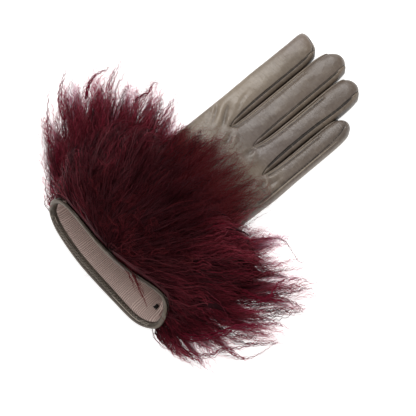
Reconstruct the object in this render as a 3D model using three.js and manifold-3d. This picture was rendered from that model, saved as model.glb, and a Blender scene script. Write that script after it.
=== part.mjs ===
// A right-hand dress glove of thin leather, lying palm down, with a deep cuff of long curly fur.
// Millimetres. X runs to the little finger, Y to the fingertips and Z up from the surface it lies on.
import * as THREE from "three";
import { mergeVertices } from "three/addons/utils/BufferGeometryUtils.js";
import Module from "manifold-3d";

const wasm = await Module();
wasm.setup();

// Driving dimensions.
const LEATHER = 1.2; // wall of the hand, the thumb and the facing
const STRIP = 1.0; // wall of the strips between the fingers
const KNIT = 1.2; // wall of the lining
const GAP = 0.35; // clear space between neighbouring pieces
const HAND_LENGTH = 150; // cuff edge to the foot of the fingers, along a column of the pattern
const HAND_HALF = 44.3; // half the width across the knuckles
const FACING_DEPTH = 9; // leather band inside the mouth
const BEAD = { across: 2.1, along: 1.5, sides: 6 }; // the rolled edge's section, by half sizes
const FACING_FROM = 0.4; // the facing starts this far inside the edge

// Sections of the hand: half width, top, height of the widest point, and underside.
const HAND = [
  { y: 0, half: 62.5, top: 34, side: 14, low: 3.6 },
  { y: 25, half: 57.5, top: 32.5, side: 13.5, low: 3.4 },
  { y: 50, half: 51, top: 29.5, side: 12.5, low: 3.2 },
  { y: 75, half: 45.5, top: 26, side: 11.5, low: 2.8 },
  { y: 95, half: 43.3, top: 23.5, side: 10.5, low: 1.4 },
  { y: 115, half: 43.6, top: 21.5, side: 9.5, low: 0.3 },
  { y: 135, half: 44.2, top: 19, side: 8.5, low: 0 },
  { y: 155, half: 44.3, top: 16.5, side: 7.2, low: 0 },
  { y: 180, half: 44.3, top: 14, side: 6.8, low: 0 },
];

// The cuff edge, seen from above: how far forward it lies on the palm side and on the back.
const MOUTH = [
  { x: -64, palm: 12, back: 16.5 },
  { x: -52, palm: 6.7, back: 18 },
  { x: -31, palm: 2.6, back: 16.3 },
  { x: -14, palm: 0.6, back: 14.6 },
  { x: 5, palm: 0, back: 14.4 },
  { x: 24, palm: 0, back: 17 },
  { x: 42, palm: 0.2, back: 22 },
  { x: 53, palm: 2.5, back: 23.5 },
  { x: 64, palm: 9, back: 18 },
];

// Fingers, from the index finger on: the outer sides, and how far each seam of the back lies in.
const FINGERS = [
  { left: -44.3, right: -20.1, seamL: 4.5, seamR: 4, height: 13.6 },
  { left: -19.7, right: 4.6, seamL: 1.6, seamR: 4, height: 13.6 },
  { left: 5, right: 25.9, seamL: 1.4, seamR: 4.5, height: 13.4 },
  { left: 26.3, right: 44.3, seamL: 1.5, seamR: 3.8, height: 12.6 },
];
// Their tips: how far each reaches, how far its corners fall back, and how square they are.
const TIPS = [
  { reach: 248.5, dropL: 2, dropR: 8, square: 3.2 },
  { reach: 257.8, dropL: 8, dropR: 8, square: 2.3 },
  { reach: 249.8, dropL: 5, dropR: 9, square: 2.3 },
  { reach: 222.8, dropL: 6, dropR: 8, square: 2.6 },
];
const RING_SPREAD = { finger: 2, by: 2, from: 202, to: 232 }; // the ring finger's free tip is fuller

// Crotches between the fingers, where their seams meet on the back.
const CROTCHES = [
  { x: -19.7, y: 152.5 },
  { x: 2.9, y: 154.3 },
  { x: 25.2, y: 143.4 },
];
const CROTCH_TOP = 12.6; // height where the seams of the back meet
const CROTCH_LOW = 0.9; // and those of the palm
const CROTCH_OPENING = 8; // the slit reaches its full width over about this distance
const CROTCH_GAP = 1.1; // the strips keep this much clear of the hand at the crotch itself
const CROTCH_BELLY = 3; // the web between two fingers is hollow by this much
const OUTER_FEET = [152.5, 141]; // foot of the index finger's and of the little finger's outer side

const FIRST_FINGER = 38; // the palm's section starts turning into the fingers' this far before their foot
const ALL_FINGER = 4; // and has done so this far past it
const BACK_EDGE = 0.8; // share of the mouth's height at which the cuff's edge reaches the back's line

const UPPER = 2.5; // exponent of the rounded upper half of a section
const LOWER = 4; // and of the flattened lower half
const SINK = 0.5; // how far the lower half would reach below the floor that flattens it
const NOSE = { height: 4.8, length: 9, roundness: 2.4, taper: 0.16, taperOver: 16 }; // of a fingertip

// The thumb is folded flat under the palm, and lifts it. It narrows towards its tip.
const THUMB = { from: 79, to: 141, rootX: -24.5, tipX: -19.5, rootHalf: 15.6, tipHalf: 12.4, height: 5.4 };
const LIFT = { height: 5.8, slope: 11, lead: 3 }; // the palm over the thumb, and its slopes round it
const THUMB_ENDS = { root: 0.12, tip: 0.3, roundness: 2.3, blunt: 0.35 }; // by shares of its length
const THUMB_CELLS = { round: 12, along: 8, openFrom: 1, openTo: 3 };
const THUMB_SQUARE = { across: 0.7, up: 0.55 }; // exponents of the flattened section
const THUMB_HOLE = { x0: -35.5, x1: -8, y0: 80, y1: 109 };

// Numbers of cells.
const PANEL_CELLS = 4; // across one finger, on the back or the palm
const SIDE_CELLS = 5; // round an outer side
const HAND_ROWS = 11;
const FINGER_ROWS = 11;
const STRIP_CELLS = 4;
const STRIP_END = 0.7; // a strip ends at this share of the way from its last row to the fingertip

const clamp01 = (v) => Math.min(1, Math.max(0, v));
const mix = (a, b, f) => a + (b - a) * f;
const smooth = (from, to, v) => {
  const f = clamp01((v - from) / (to - from));
  return f * f * (3 - 2 * f);
};
const at = (x, y, z) => new THREE.Vector3(x, y, z);

// Reads one column of a table at a place between its rows, along a smooth curve through them.
function read(table, key, column, place) {
  const last = table.length - 1;
  const v = Math.min(Math.max(place, table[0][key]), table[last][key]);
  let i = 0;
  while (i < last - 1 && v > table[i + 1][key]) i++;
  const row = (j) => table[Math.min(Math.max(j, 0), last)];
  const step = row(i + 1)[key] - row(i)[key];
  const slope = (j) => {
    const run = row(j + 1)[key] - row(j - 1)[key];
    return run ? (row(j + 1)[column] - row(j - 1)[column]) / run : 0;
  };
  const f = (v - row(i)[key]) / step;
  const a = row(i)[column];
  const b = row(i + 1)[column];
  const rise = b - a;
  const m0 = slope(i) * step - rise;
  const m1 = slope(i + 1) * step - rise;
  return a + rise * f + f * (1 - f) * (m0 * (1 - f) - m1 * f);
}

// Height of a rounded section above or below its widest point, at a share of its half width.
const upperRise = (share) => (1 - Math.min(1, Math.abs(share)) ** UPPER) ** (1 / UPPER);
const lowerRise = (share) => (1 - Math.min(1, Math.abs(share)) ** LOWER) ** (1 / LOWER);

// One finger's section at a distance past its foot.
function fingerSection(i, forward) {
  const f = FINGERS[i];
  const spread = i === RING_SPREAD.finger
    ? RING_SPREAD.by * smooth(RING_SPREAD.from, RING_SPREAD.to, HAND_LENGTH + forward)
    : 0;
  const right = f.right + spread;
  const centre = (f.left + right) / 2;
  return { centre, half: (right - f.left) / 2, middle: f.height / 2, left: f.left, right };
}

// The thumb's middle and half width at a share of its length, and how far it lifts the palm.
const thumbMiddle = (v) => mix(THUMB.rootX, THUMB.tipX, v);
const thumbHalf = (v) => mix(THUMB.rootHalf, THUMB.tipHalf, v);
function thumbLift(x, y) {
  const v = clamp01((y - THUMB.from) / (THUMB.to - THUMB.from));
  const beside = thumbHalf(v) + LIFT.slope - Math.abs(x - thumbMiddle(v));
  const root = THUMB.from - LIFT.lead;
  const along = smooth(root - LIFT.slope, root, y) * smooth(THUMB.to + LIFT.slope, THUMB.to + 1, y);
  return LIFT.height * smooth(0, LIFT.slope - 1, beside) * along;
}

// Edges of the finger columns in the hand, and the foot of each.
const EDGES = [
  { x: FINGERS[0].left + FINGERS[0].seamL, y: OUTER_FEET[0] },
  ...CROTCHES,
  { x: FINGERS[3].right - FINGERS[3].seamR, y: OUTER_FEET[1] },
];

// How far the palm's section has turned into the fingers'.
const fingered = (s) => smooth(HAND_LENGTH - FIRST_FINGER, HAND_LENGTH + ALL_FINGER, s);

// A place on the pattern is a finger, a share t across its column, whether it is on the back, and a
// distance s along the column: 0 at the cuff edge and HAND_LENGTH at the foot of the fingers.
function panelX(i, t, s) {
  const section = fingerSection(i, s - HAND_LENGTH);
  const f = FINGERS[i];
  const open = s > HAND_LENGTH ? 1 - Math.exp((HAND_LENGTH - s) / CROTCH_OPENING) : 0;
  const scale = read(HAND, "y", "half", s) / HAND_HALF;
  const left = mix(EDGES[i].x * scale, section.left + f.seamL, open);
  const right = mix(EDGES[i + 1].x * scale, section.right - f.seamR, open);
  return mix(left, right, t);
}

function panelZ(i, t, s, back, x, y) {
  const section = fingerSection(i, s - HAND_LENGTH);
  const f = FINGERS[i];
  const finalX = mix(section.left + f.seamL, section.right - f.seamR, t);
  const share = (finalX - section.centre) / section.half;
  const rise = (u) => back
    ? section.middle + section.middle * upperRise(u)
    : section.middle - (section.middle + SINK) * lowerRise(u);
  const fade = s > HAND_LENGTH ? Math.exp((HAND_LENGTH - s) / CROTCH_OPENING) : 1;
  const meet = back ? CROTCH_TOP : CROTCH_LOW;
  let finger = rise(share);
  if (i > 0) {
    const edge = (section.left + f.seamL - section.centre) / section.half;
    finger += (meet - rise(edge)) * (1 - t) ** 3 * fade;
  }
  if (i < FINGERS.length - 1) {
    const edge = (section.right - f.seamR - section.centre) / section.half;
    finger += (meet - rise(edge)) * t ** 3 * fade;
  }
  const half = read(HAND, "y", "half", s);
  const side = read(HAND, "y", "side", s);
  const reach = back ? read(HAND, "y", "top", s) : read(HAND, "y", "low", s) - SINK;
  const palm = side + (reach - side) * (back ? upperRise(x / half) : lowerRise(x / half));
  const z = mix(palm, finger, fingered(s));
  return back ? z : Math.max(z, read(HAND, "y", "low", s), thumbLift(x, y));
}

// A point on an outer side, at a share u of the way from the back down to the palm.
function sideXZ(i, u, s, y) {
  const section = fingerSection(i, s - HAND_LENGTH);
  const f = FINGERS[i];
  const sign = i === 0 ? -1 : 1;
  const seamShare = (section.half - (i === 0 ? f.seamL : f.seamR)) / section.half;
  const half = read(HAND, "y", "half", s);
  const side = read(HAND, "y", "side", s);
  const palmShare = Math.abs(EDGES[i === 0 ? 0 : 4].x) / HAND_HALF;
  const low = read(HAND, "y", "low", s);
  const turn = (share, up) => Math.acos(share ** ((up ? UPPER : LOWER) / 2));
  const upper = u < 0.5;
  const part = upper ? 1 - 2 * u : 2 * u - 1;
  const round = (share, halfWidth, middle, riseBy) => {
    const angle = turn(share, upper) * part;
    const power = 2 / (upper ? UPPER : LOWER);
    return [halfWidth * Math.cos(angle) ** power, middle + riseBy * Math.sin(angle) ** power];
  };
  const fingerRise = upper ? section.middle : -(section.middle + SINK);
  const finger = round(seamShare, section.half, section.middle, fingerRise);
  const palm = round(palmShare, half, side, upper ? read(HAND, "y", "top", s) - side : low - SINK - side);
  const x = mix(sign * palm[0], section.centre + sign * finger[0], fingered(s));
  const z = mix(palm[1], finger[1], fingered(s));
  return [x, upper ? z : Math.max(z, low, thumbLift(x, y))];
}

// The foot of a finger and the cuff edge, across the pattern.
const footAt = (i, t) => mix(EDGES[i].y, EDGES[i + 1].y, t);
function mouthAt(x, z) {
  const up = smooth(read(HAND, "y", "low", 0), read(HAND, "y", "top", 0) * BACK_EDGE, z);
  return mix(read(MOUTH, "x", "palm", x), read(MOUTH, "x", "back", x), up);
}

// Columns round the hand, as places on the pattern: up the index side, over the back, down the
// little-finger side and back across the palm.
const COLUMNS = [];
for (let k = SIDE_CELLS - 1; k > 0; k--) COLUMNS.push({ side: true, i: 0, t: 0, u: k / SIDE_CELLS });
for (let i = 0; i < 4; i++)
  for (let k = 0; k < PANEL_CELLS; k++) COLUMNS.push({ i, t: k / PANEL_CELLS, back: true });
COLUMNS.push({ i: 3, t: 1, back: true });
for (let k = 1; k < SIDE_CELLS; k++) COLUMNS.push({ side: true, i: 3, t: 1, u: k / SIDE_CELLS });
for (let i = 3; i >= 0; i--)
  for (let k = PANEL_CELLS; k > 0; k--) COLUMNS.push({ i, t: k / PANEL_CELLS, back: false });
COLUMNS.push({ i: 0, t: 0, back: false });

// A point of the hand's outer face, at a share w of the way from the cuff edge to the fingers' foot.
function handPoint(column, w) {
  const s = w * HAND_LENGTH;
  const foot = footAt(column.i, column.t);
  const place = (y) => {
    if (column.side) return sideXZ(column.i, column.u, s, y);
    const x = panelX(column.i, column.t, s);
    return [x, panelZ(column.i, column.t, s, column.back, x, y)];
  };
  const [x0, z0] = place(0);
  const y = mix(mouthAt(x0, z0), foot, w);
  const [x, z] = place(y);
  return at(x, y, z);
}

// A point of a finger's outer face. v runs from its foot, 0, to its tip, 1.
function fingerPoint(column, v) {
  const tip = TIPS[column.i];
  const foot = footAt(column.i, column.t);
  const length = tip.reach - foot;
  const s = HAND_LENGTH + v * length;
  const section = fingerSection(column.i, s - HAND_LENGTH);
  let x, z;
  if (column.strip !== undefined) [x, z] = stripXZ(column, s);
  else if (column.side) [x, z] = sideXZ(column.i, column.u, s, foot + v * length);
  else {
    x = panelX(column.i, column.t, s);
    z = panelZ(column.i, column.t, s, column.back, x, foot + v * length);
  }
  const q = (x - section.centre) / section.half;
  const fall = (q < 0 ? tip.dropL : tip.dropR) * Math.abs(q) ** tip.square;
  const toTip = (1 - v) * length;
  const nose = (1 - (1 - clamp01(toTip / NOSE.length)) ** NOSE.roundness) ** (1 / NOSE.roundness);
  const narrow = 1 - NOSE.taper * (1 - clamp01(toTip / NOSE.taperOver)) ** 2;
  return at(
    section.centre + (x - section.centre) * narrow,
    foot + v * (length - fall),
    NOSE.height + (z - NOSE.height) * nose,
  );
}
const fingerRow = (j) => (1 - Math.cos((Math.PI * j) / FINGER_ROWS)) / 2;

// The side of a finger between its two seams, bulging out to the finger's full width.
function stripXZ({ i, t, strip }, s) {
  const section = fingerSection(i, s - HAND_LENGTH);
  const f = FINGERS[i];
  const sign = t ? 1 : -1;
  const seam = (section.half - (t ? f.seamR : f.seamL)) / section.half;
  const upper = strip < 0.5;
  const part = upper ? 1 - 2 * strip : 2 * strip - 1;
  const power = 2 / (upper ? UPPER : LOWER);
  const angle = Math.acos(seam ** (1 / power)) * part;
  const open = 1 - Math.exp((HAND_LENGTH - s) / CROTCH_OPENING);
  const bulge = section.centre + sign * section.half * Math.cos(angle) ** power;
  const x = mix(CROTCHES[t ? i : i - 1].x, bulge, open);
  const rise = upper ? section.middle : -(section.middle + SINK);
  const z = Math.max(0, section.middle + rise * Math.sin(angle) ** power);
  const meet = mix(CROTCH_TOP, CROTCH_LOW, strip);
  return [x, mix(meet, z, open)];
}

// Sheets are lists of triangles, each of three points, with the outer face counter-clockwise.
const keyOf = (p) => [p.x, p.y, p.z].map((v) => Math.round(v * 1000)).join();

// Triangles of a grid of points. Squares that a test leaves out make a hole.
function gridSheet(rows, keep = () => true) {
  const out = [];
  for (let j = 0; j + 1 < rows.length; j++)
    for (let k = 0; k + 1 < rows[j].length; k++) {
      if (!keep(j, k)) continue;
      const [a, b, c, d] = [rows[j][k], rows[j][k + 1], rows[j + 1][k + 1], rows[j + 1][k]];
      out.push([a, b, c], [a, c, d]);
    }
  return out.filter((t) => new Set(t.map(keyOf)).size === 3);
}

// Outward directions at the points of a sheet, shared by the pieces that meet there.
function directionsOf(sheet) {
  const sums = new Map();
  for (const [a, b, c] of sheet) {
    const n = b.clone().sub(a).cross(c.clone().sub(a)).normalize();
    for (const [p, q, r] of [[a, b, c], [b, c, a], [c, a, b]]) {
      const corner = q.clone().sub(p).angleTo(r.clone().sub(p));
      const key = keyOf(p);
      if (!sums.has(key)) sums.set(key, new THREE.Vector3());
      sums.get(key).addScaledVector(n, corner);
    }
  }
  for (const n of sums.values()) n.normalize();
  return sums;
}

// A sheet given a thickness inwards, and closed along its edges.
function thicken(sheet, thickness, directions) {
  const inner = (p) => p.clone().addScaledVector(directions.get(keyOf(p)), -thickness);
  const out = [];
  const edges = new Map();
  for (const triangle of sheet) {
    const [a, b, c] = triangle;
    out.push([a, b, c], [inner(c), inner(b), inner(a)]);
    for (const [p, q] of [[a, b], [b, c], [c, a]]) edges.set(keyOf(p) + ">" + keyOf(q), [p, q]);
  }
  for (const [p, q] of edges.values())
    if (!edges.has(keyOf(q) + ">" + keyOf(p))) out.push([q, p, inner(p)], [q, inner(p), inner(q)]);
  return out;
}

function geometryOf(triangles) {
  const positions = triangles.flatMap((t) => t.flatMap((p) => [p.x, p.y, p.z]));
  const geometry = new THREE.BufferGeometry();
  geometry.setAttribute("position", new THREE.Float32BufferAttribute(positions, 3));
  return mergeVertices(geometry, 1e-3);
}

// Exact solids, for the joins and cuts of the fur.
function solidOf(triangles) {
  const geometry = geometryOf(triangles);
  const vertProperties = new Float32Array(geometry.attributes.position.array);
  const triVerts = new Uint32Array(geometry.index.array);
  return new wasm.Manifold(new wasm.Mesh({ numProp: 3, vertProperties, triVerts }));
}
function geometryOfSolid(solid) {
  const mesh = solid.getMesh();
  const geometry = new THREE.BufferGeometry();
  const positions = new THREE.Float32BufferAttribute(mesh.vertProperties, 3);
  geometry.setAttribute("position", positions);
  geometry.setIndex(new THREE.Uint32BufferAttribute(mesh.triVerts, 1));
  return geometry;
}

// The hand's outer face: one closed comb of columns that parts into four fingers.
const handRows = [];
for (let j = 0; j <= HAND_ROWS; j++) {
  const row = COLUMNS.map((c) => handPoint(c, j / HAND_ROWS));
  handRows.push([...row, row[0]]);
}
const overThumb = (j, k) => {
  const p = handRows[j][k].clone().add(handRows[j + 1][k + 1]).multiplyScalar(0.5);
  const h = THUMB_HOLE;
  return k >= COLUMNS.length - 4 * PANEL_CELLS - 1 && p.x > h.x0 && p.x < h.x1 && p.y > h.y0 && p.y < h.y1;
};
const handSheet = gridSheet(handRows, (j, k) => !overThumb(j, k));

function fingerSheet(i) {
  const rows = { back: [], palm: [], side: [] };
  for (let j = 0; j <= FINGER_ROWS; j++) {
    const v = fingerRow(j);
    const across = [...Array(PANEL_CELLS + 1).keys()].map((k) => k / PANEL_CELLS);
    const down = [...Array(SIDE_CELLS + 1).keys()].map((k) => k / SIDE_CELLS);
    rows.back.push(across.map((t) => fingerPoint({ i, t, back: true }, v)));
    rows.palm.push(across.map((t) => fingerPoint({ i, t: 1 - t, back: false }, v)));
    if (i !== 0 && i !== 3) continue;
    const t = i === 0 ? 0 : 1;
    const between = down.slice(1, -1).map((u) => fingerPoint({ side: true, i, t, u }, v));
    const side = [fingerPoint({ i, t, back: true }, v), ...between, fingerPoint({ i, t, back: false }, v)];
    rows.side.push(i === 0 ? side.reverse() : side);
  }
  return [rows.back, rows.palm, rows.side].flatMap((r) => gridSheet(r));
}

// Points across a strip from the back's seam to the palm's, on the finger's left, 0, or right, 1.
function stripRow(i, t, v) {
  const inner = [...Array(STRIP_CELLS - 1).keys()].map((k) => (k + 1) / STRIP_CELLS);
  return [
    fingerPoint({ i, t, back: true }, v),
    ...inner.map((strip) => fingerPoint({ i, t, strip }, v)),
    fingerPoint({ i, t, back: false }, v),
  ];
}
// The strip between finger i and the next: down the first one's side, round the crotch and up the
// second one's side.
function stripRows(i) {
  const rows = [];
  for (let j = FINGER_ROWS - 1; j >= 1; j--) rows.push(stripRow(i, 1, fingerRow(j)));
  const crotch = stripRow(i, 1, 0);
  crotch.forEach((p, k) => { p.y += CROTCH_BELLY * Math.sin((Math.PI * k) / STRIP_CELLS); });
  rows.push(crotch);
  for (let j = 1; j < FINGER_ROWS; j++) rows.push(stripRow(i + 1, 0, fingerRow(j)));
  return rows;
}
const flipped = (sheet) => sheet.map(([a, b, c]) => [a, c, b]);

const trankSheet = [handSheet, ...[0, 1, 2, 3].map(fingerSheet)].flat();
const strips = [0, 1, 2].map(stripRows);
const skin = directionsOf([trankSheet, ...strips.map((rows) => flipped(gridSheet(rows)))].flat());

// A strip's point with its outward direction, and its last row, close to the fingertip.
const placed = (point) => ({ point, direction: skin.get(keyOf(point)) });
function stripEnd(i, t) {
  const tip = stripRow(i, t, 1);
  const tipDirection = skin.get(keyOf(tip[0]));
  return stripRow(i, t, fingerRow(FINGER_ROWS - 1)).map(placed).map(({ point, direction }, k) => ({
    point: point.clone().lerp(tip[k], STRIP_END),
    direction: direction.clone().lerp(tipDirection, STRIP_END),
  }));
}

// A strip drawn back from the seams by the gap, with the seams' own directions kept.
function stripSolid(i) {
  const rows = [stripEnd(i, 1), ...strips[i].map((row) => row.map(placed)), stripEnd(i + 1, 0)];
  const crotch = (rows.length - 1) / 2;
  const moved = new Map();
  const drawn = rows.map((row, j) => row.map(({ point, direction }, k) => {
    const to = point.clone();
    const back = Math.abs(j - crotch) <= 1 ? CROTCH_GAP : GAP;
    const pull = (beside) => to.addScaledVector(beside.point.clone().sub(point).normalize(), back);
    if (k === 0) pull(row[1]);
    if (k === row.length - 1) pull(row[k - 1]);
    moved.set(keyOf(to), direction);
    return to;
  }));
  return thicken(flipped(gridSheet(drawn)), STRIP, moved);
}

// Rings round the mouth, at a depth along the columns and a distance in from the hand's outer face.
const ringDirections = directionsOf(gridSheet(handRows));
function ringPoint(c, depth, inward) {
  const n = COLUMNS.length;
  const w = depth / HAND_LENGTH;
  const step = 0.01;
  const along = handPoint(COLUMNS[c % n], w + step).sub(handPoint(COLUMNS[c % n], Math.max(0, w - step)));
  const round = handPoint(COLUMNS[(c + 1) % n], w).sub(handPoint(COLUMNS[(c + n - 1) % n], w));
  const out = round.cross(along).normalize();
  if (depth === 0) out.copy(ringDirections.get(keyOf(handPoint(COLUMNS[c % n], 0))));
  return handPoint(COLUMNS[c % n], w).addScaledVector(out, -inward);
}
// A closed sleeve between two distances in from the outer face, through the given depths.
function sleeve(depths, outer, inner) {
  const loop = (depth, inward) => [...COLUMNS.keys(), 0].map((c) => ringPoint(c, depth, inward));
  const outside = depths.map((d) => loop(d, outer));
  const inside = depths.map((d) => loop(d, inner)).reverse();
  return gridSheet([...outside, ...inside, outside[0]]);
}

// The rolled edge: an oval bead that caps the cuff's wall all round.
function bead() {
  const columns = [...COLUMNS.keys(), 0];
  const wall = LEATHER + GAP + LEATHER;
  const rows = [];
  for (let k = 0; k <= BEAD.sides; k++) {
    const angle = (2 * Math.PI * k) / BEAD.sides;
    rows.push(columns.map((c) => {
      const edge = ringPoint(c, 0, 0);
      const inwards = ringPoint(c, 0, 1).sub(edge);
      const off = edge.clone().sub(ringPoint(c, FACING_DEPTH / 3, 0)).normalize();
      return edge
        .addScaledVector(inwards, wall / 2 + BEAD.across * Math.cos(angle))
        .addScaledVector(off, GAP + BEAD.along * (1 + Math.sin(angle)));
    }));
  }
  return gridSheet(rows);
}

// The thumb: a flat closed pouch under the palm, open upwards at its root.
function thumbSheet() {
  const ends = THUMB_ENDS;
  const cells = THUMB_CELLS;
  const power = (value, exponent) => Math.sign(value) * Math.abs(value) ** exponent;
  const middle = THUMB.height / 2;
  const rows = [];
  for (let j = 0; j <= cells.along; j++) {
    const v = (1 - Math.cos((Math.PI * j) / cells.along)) / 2;
    const toEnd = Math.max(1 - v / ends.root, 1 - (1 - v) / ends.tip, 0);
    const full = (1 - toEnd ** ends.roundness) ** (1 / ends.roundness);
    const half = thumbHalf(v) * mix(ends.blunt, 1, full);
    const row = [];
    for (let k = 0; k <= cells.round; k++) {
      const angle = Math.PI - (2 * Math.PI * k) / cells.round;
      const across = power(Math.cos(angle), THUMB_SQUARE.across);
      const up = power(Math.sin(angle), THUMB_SQUARE.up);
      const z = Math.max(0, middle + up * (middle + (up < 0 ? SINK : 0)) * full);
      row.push(at(thumbMiddle(v) + half * across, mix(THUMB.from, THUMB.to, v), z));
    }
    rows.push(row);
  }
  const open = (j, k) => j >= cells.openFrom && j <= cells.openTo && k >= 1 && k < cells.round / 2 - 1;
  return gridSheet(rows, (j, k) => !open(j, k));
}

// The fur: a pelt band round the cuff whose hair lies in locks that fan out and end in points.
// Each column of the hand's pattern has a lock; this table gives where the locks of the back and of
// the two sides end, by their share of the way from the low index side to the low little-finger side.
const LOCK_ENDS = [
  { share: 0, x: -98, y: 40, z: 1.6 },
  { share: 0.06, x: -124, y: 62, z: 3 },
  { share: 0.13, x: -135, y: 84, z: 5 },
  { share: 0.2, x: -128, y: 106, z: 8 },
  { share: 0.27, x: -106, y: 122, z: 11 },
  { share: 0.34, x: -76, y: 135, z: 14 },
  { share: 0.42, x: -48, y: 131, z: 20 },
  { share: 0.5, x: -20, y: 122, z: 27 },
  { share: 0.56, x: 4, y: 118, z: 28.5 },
  { share: 0.62, x: 28, y: 118, z: 27.5 },
  { share: 0.69, x: 54, y: 121, z: 21 },
  { share: 0.76, x: 82, y: 128, z: 13 },
  { share: 0.83, x: 110, y: 118, z: 9 },
  { share: 0.9, x: 128, y: 96, z: 6 },
  { share: 0.96, x: 130, y: 66, z: 3 },
  { share: 1, x: 112, y: 30, z: 1.6 },
];
const ROW = HAND_LENGTH / HAND_ROWS; // depth of one row of the hand, which the pelt's inner face follows
const PELT = { from: 1.8, back: 7 * ROW, palm: 5 * ROW, swell: 15, groove: 5, notch: 0.24 };
const PELT_ROWS = [1, 2, 3, 4, 5].map((j) => j * ROW); // between the pelt's two edges
const CLEAR = 3; // height kept by the hair over the leather of the back
const FACES_UP = 0.3; // upward share of a direction, past which the hair lies over the back
const LIP = { ahead: 6, off: 3.2 }; // the hair leaves the pelt's front edge upwards
// A lock along its length: its swell leans towards the mouth and fades towards its end, and its
// middle and its end keep off the surface below. Under it the hair sags back to the pelt.
const LOCK = { steps: 6, under: 2, lean: 0.62, fade: 0.25, bed: 1.2, hang: 0.6, sag: 3, upAt: 30 };
// Under the palm the hair is pressed flat, with its end just short of the pelt's front edge.
const PRESSED = { narrow: 0.96, short: 2, height: 0.4, turn: 0.5, lip: 0.6 };

// Loose locks that stand clear of the mass: where on the pelt each starts, as a share of the way
// round and a depth, where it points, and how long it is.
const LOOSE_FORM = {
  steps: 6, off: 9.5, half: 8, deep: 5, taper: 0.7, point: 0.06, sway: 4, waves: 8, arch: 6, early: 0.8,
};
const LOOSE_ENDS = { ahead: 26, aside: 5, turned: 60 }; // heights of their ends, by where they point
const LOOSE = [
  { share: 0.1, depth: 22, turn: -72, reach: 66, rise: 8 },
  { share: 0.16, depth: 52, turn: -64, reach: 64, rise: 12 },
  { share: 0.25, depth: 30, turn: -50, reach: 74, rise: 7 },
  { share: 0.33, depth: 64, turn: -36, reach: 62, rise: 7 },
  { share: 0.42, depth: 48, turn: -22, reach: 66, rise: 8 },
  { share: 0.52, depth: 62, turn: 2, reach: 62, rise: 6 },
  { share: 0.6, depth: 46, turn: 16, reach: 66, rise: 8 },
  { share: 0.69, depth: 66, turn: 32, reach: 62, rise: 6 },
  { share: 0.77, depth: 34, turn: 48, reach: 74, rise: 7 },
  { share: 0.85, depth: 54, turn: 60, reach: 62, rise: 8 },
  { share: 0.91, depth: 24, turn: 78, reach: 62, rise: 8 },
];

const lastOuter = COLUMNS.length - 4 * PANEL_CELLS - 2; // the last column of the sides and the back
// A point near the hand's outer face, standing off from it, also halfway between two columns.
function standOff(column, depth, off) {
  const low = Math.floor(column);
  const a = ringPoint(low, depth, -off);
  return low === column ? a : a.lerp(ringPoint(low + 1, depth, -off), 0.5);
}

// Height of the back of the hand under a place, below which no fur lies.
const BACK_FROM = 15; // the back's edge at the mouth
function backHeight(x, y) {
  const s = ((y - BACK_FROM) * HAND_LENGTH) / (CROTCHES[0].y - BACK_FROM);
  const half = read(HAND, "y", "half", s) + CLEAR;
  if (Math.abs(x) > half) return 0;
  const side = read(HAND, "y", "side", s);
  return side + (read(HAND, "y", "top", s) - side) * upperRise(x / half);
}

// One lock's section: along its top from the mouth to its end, back below to the pelt's front edge,
// and along the pelt's inner face to the mouth again.
function lockLoop(column) {
  const outer = column <= lastOuter;
  const share = outer ? column / lastOuter : 0;
  const start = standOff(column, PELT.from, GAP);
  const front = standOff(column, outer ? PELT.back : PELT.palm, GAP);
  const valley = column % 1 !== 0;
  const reach = (axis) => read(LOCK_ENDS, "share", axis, share);
  const end = outer
    ? at(reach("x"), reach("y"), reach("z"))
    : at(front.x * PRESSED.narrow, front.y - PRESSED.short, PRESSED.height);
  if (valley && outer) end.lerp(start.clone().lerp(front, LOCK.hang).setZ(end.z), PELT.notch);
  const rise = standOff(column, LOCK.upAt, 1).sub(standOff(column, LOCK.upAt, 0)).normalize();
  const over = (p) => (rise.z > FACES_UP ? backHeight(p.x, p.y) + CLEAR : 0);
  const loop = [];
  for (let j = 0; j <= LOCK.steps; j++) {
    const f = j / LOCK.steps;
    const p = start.clone().lerp(end, f);
    if (outer) {
      const full = valley ? PELT.swell - PELT.groove : PELT.swell;
      const swell = full * Math.sin(Math.PI * f ** LOCK.lean) * (1 - LOCK.fade * f);
      p.addScaledVector(rise, swell * clamp01(LOCK.fade + rise.z));
      p.z = Math.max(p.z, LOCK.bed * (1 - f) + end.z * f * LOCK.hang, over(p));
    } else p.z = f === 0 ? p.z : 0;
    loop.push(p);
  }
  for (let j = 1; j < LOCK.under; j++) {
    const f = j / LOCK.under;
    const p = end.clone().lerp(front, f);
    if (outer) p.z = Math.max(PRESSED.height, p.z - LOCK.sag * Math.sin(Math.PI * f), over(p));
    else p.z = mix(PRESSED.height, front.z, f * PRESSED.turn);
    loop.push(p);
  }
  if (outer) loop.push(standOff(column, PELT.back + LIP.ahead, LIP.off));
  else loop.push(at(front.x, front.y + LIP.ahead / 2, front.z * PRESSED.lip));
  loop.push(front);
  for (const depth of [...PELT_ROWS].reverse()) loop.push(standOff(column, depth, GAP));
  loop.push(loop[0]);
  return loop;
}

function peltSheet() {
  const loops = [];
  for (let column = 0; column < COLUMNS.length; column += 0.5) loops.push(lockLoop(column));
  loops.push(loops[0]);
  return flipped(gridSheet(loops));
}

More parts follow.
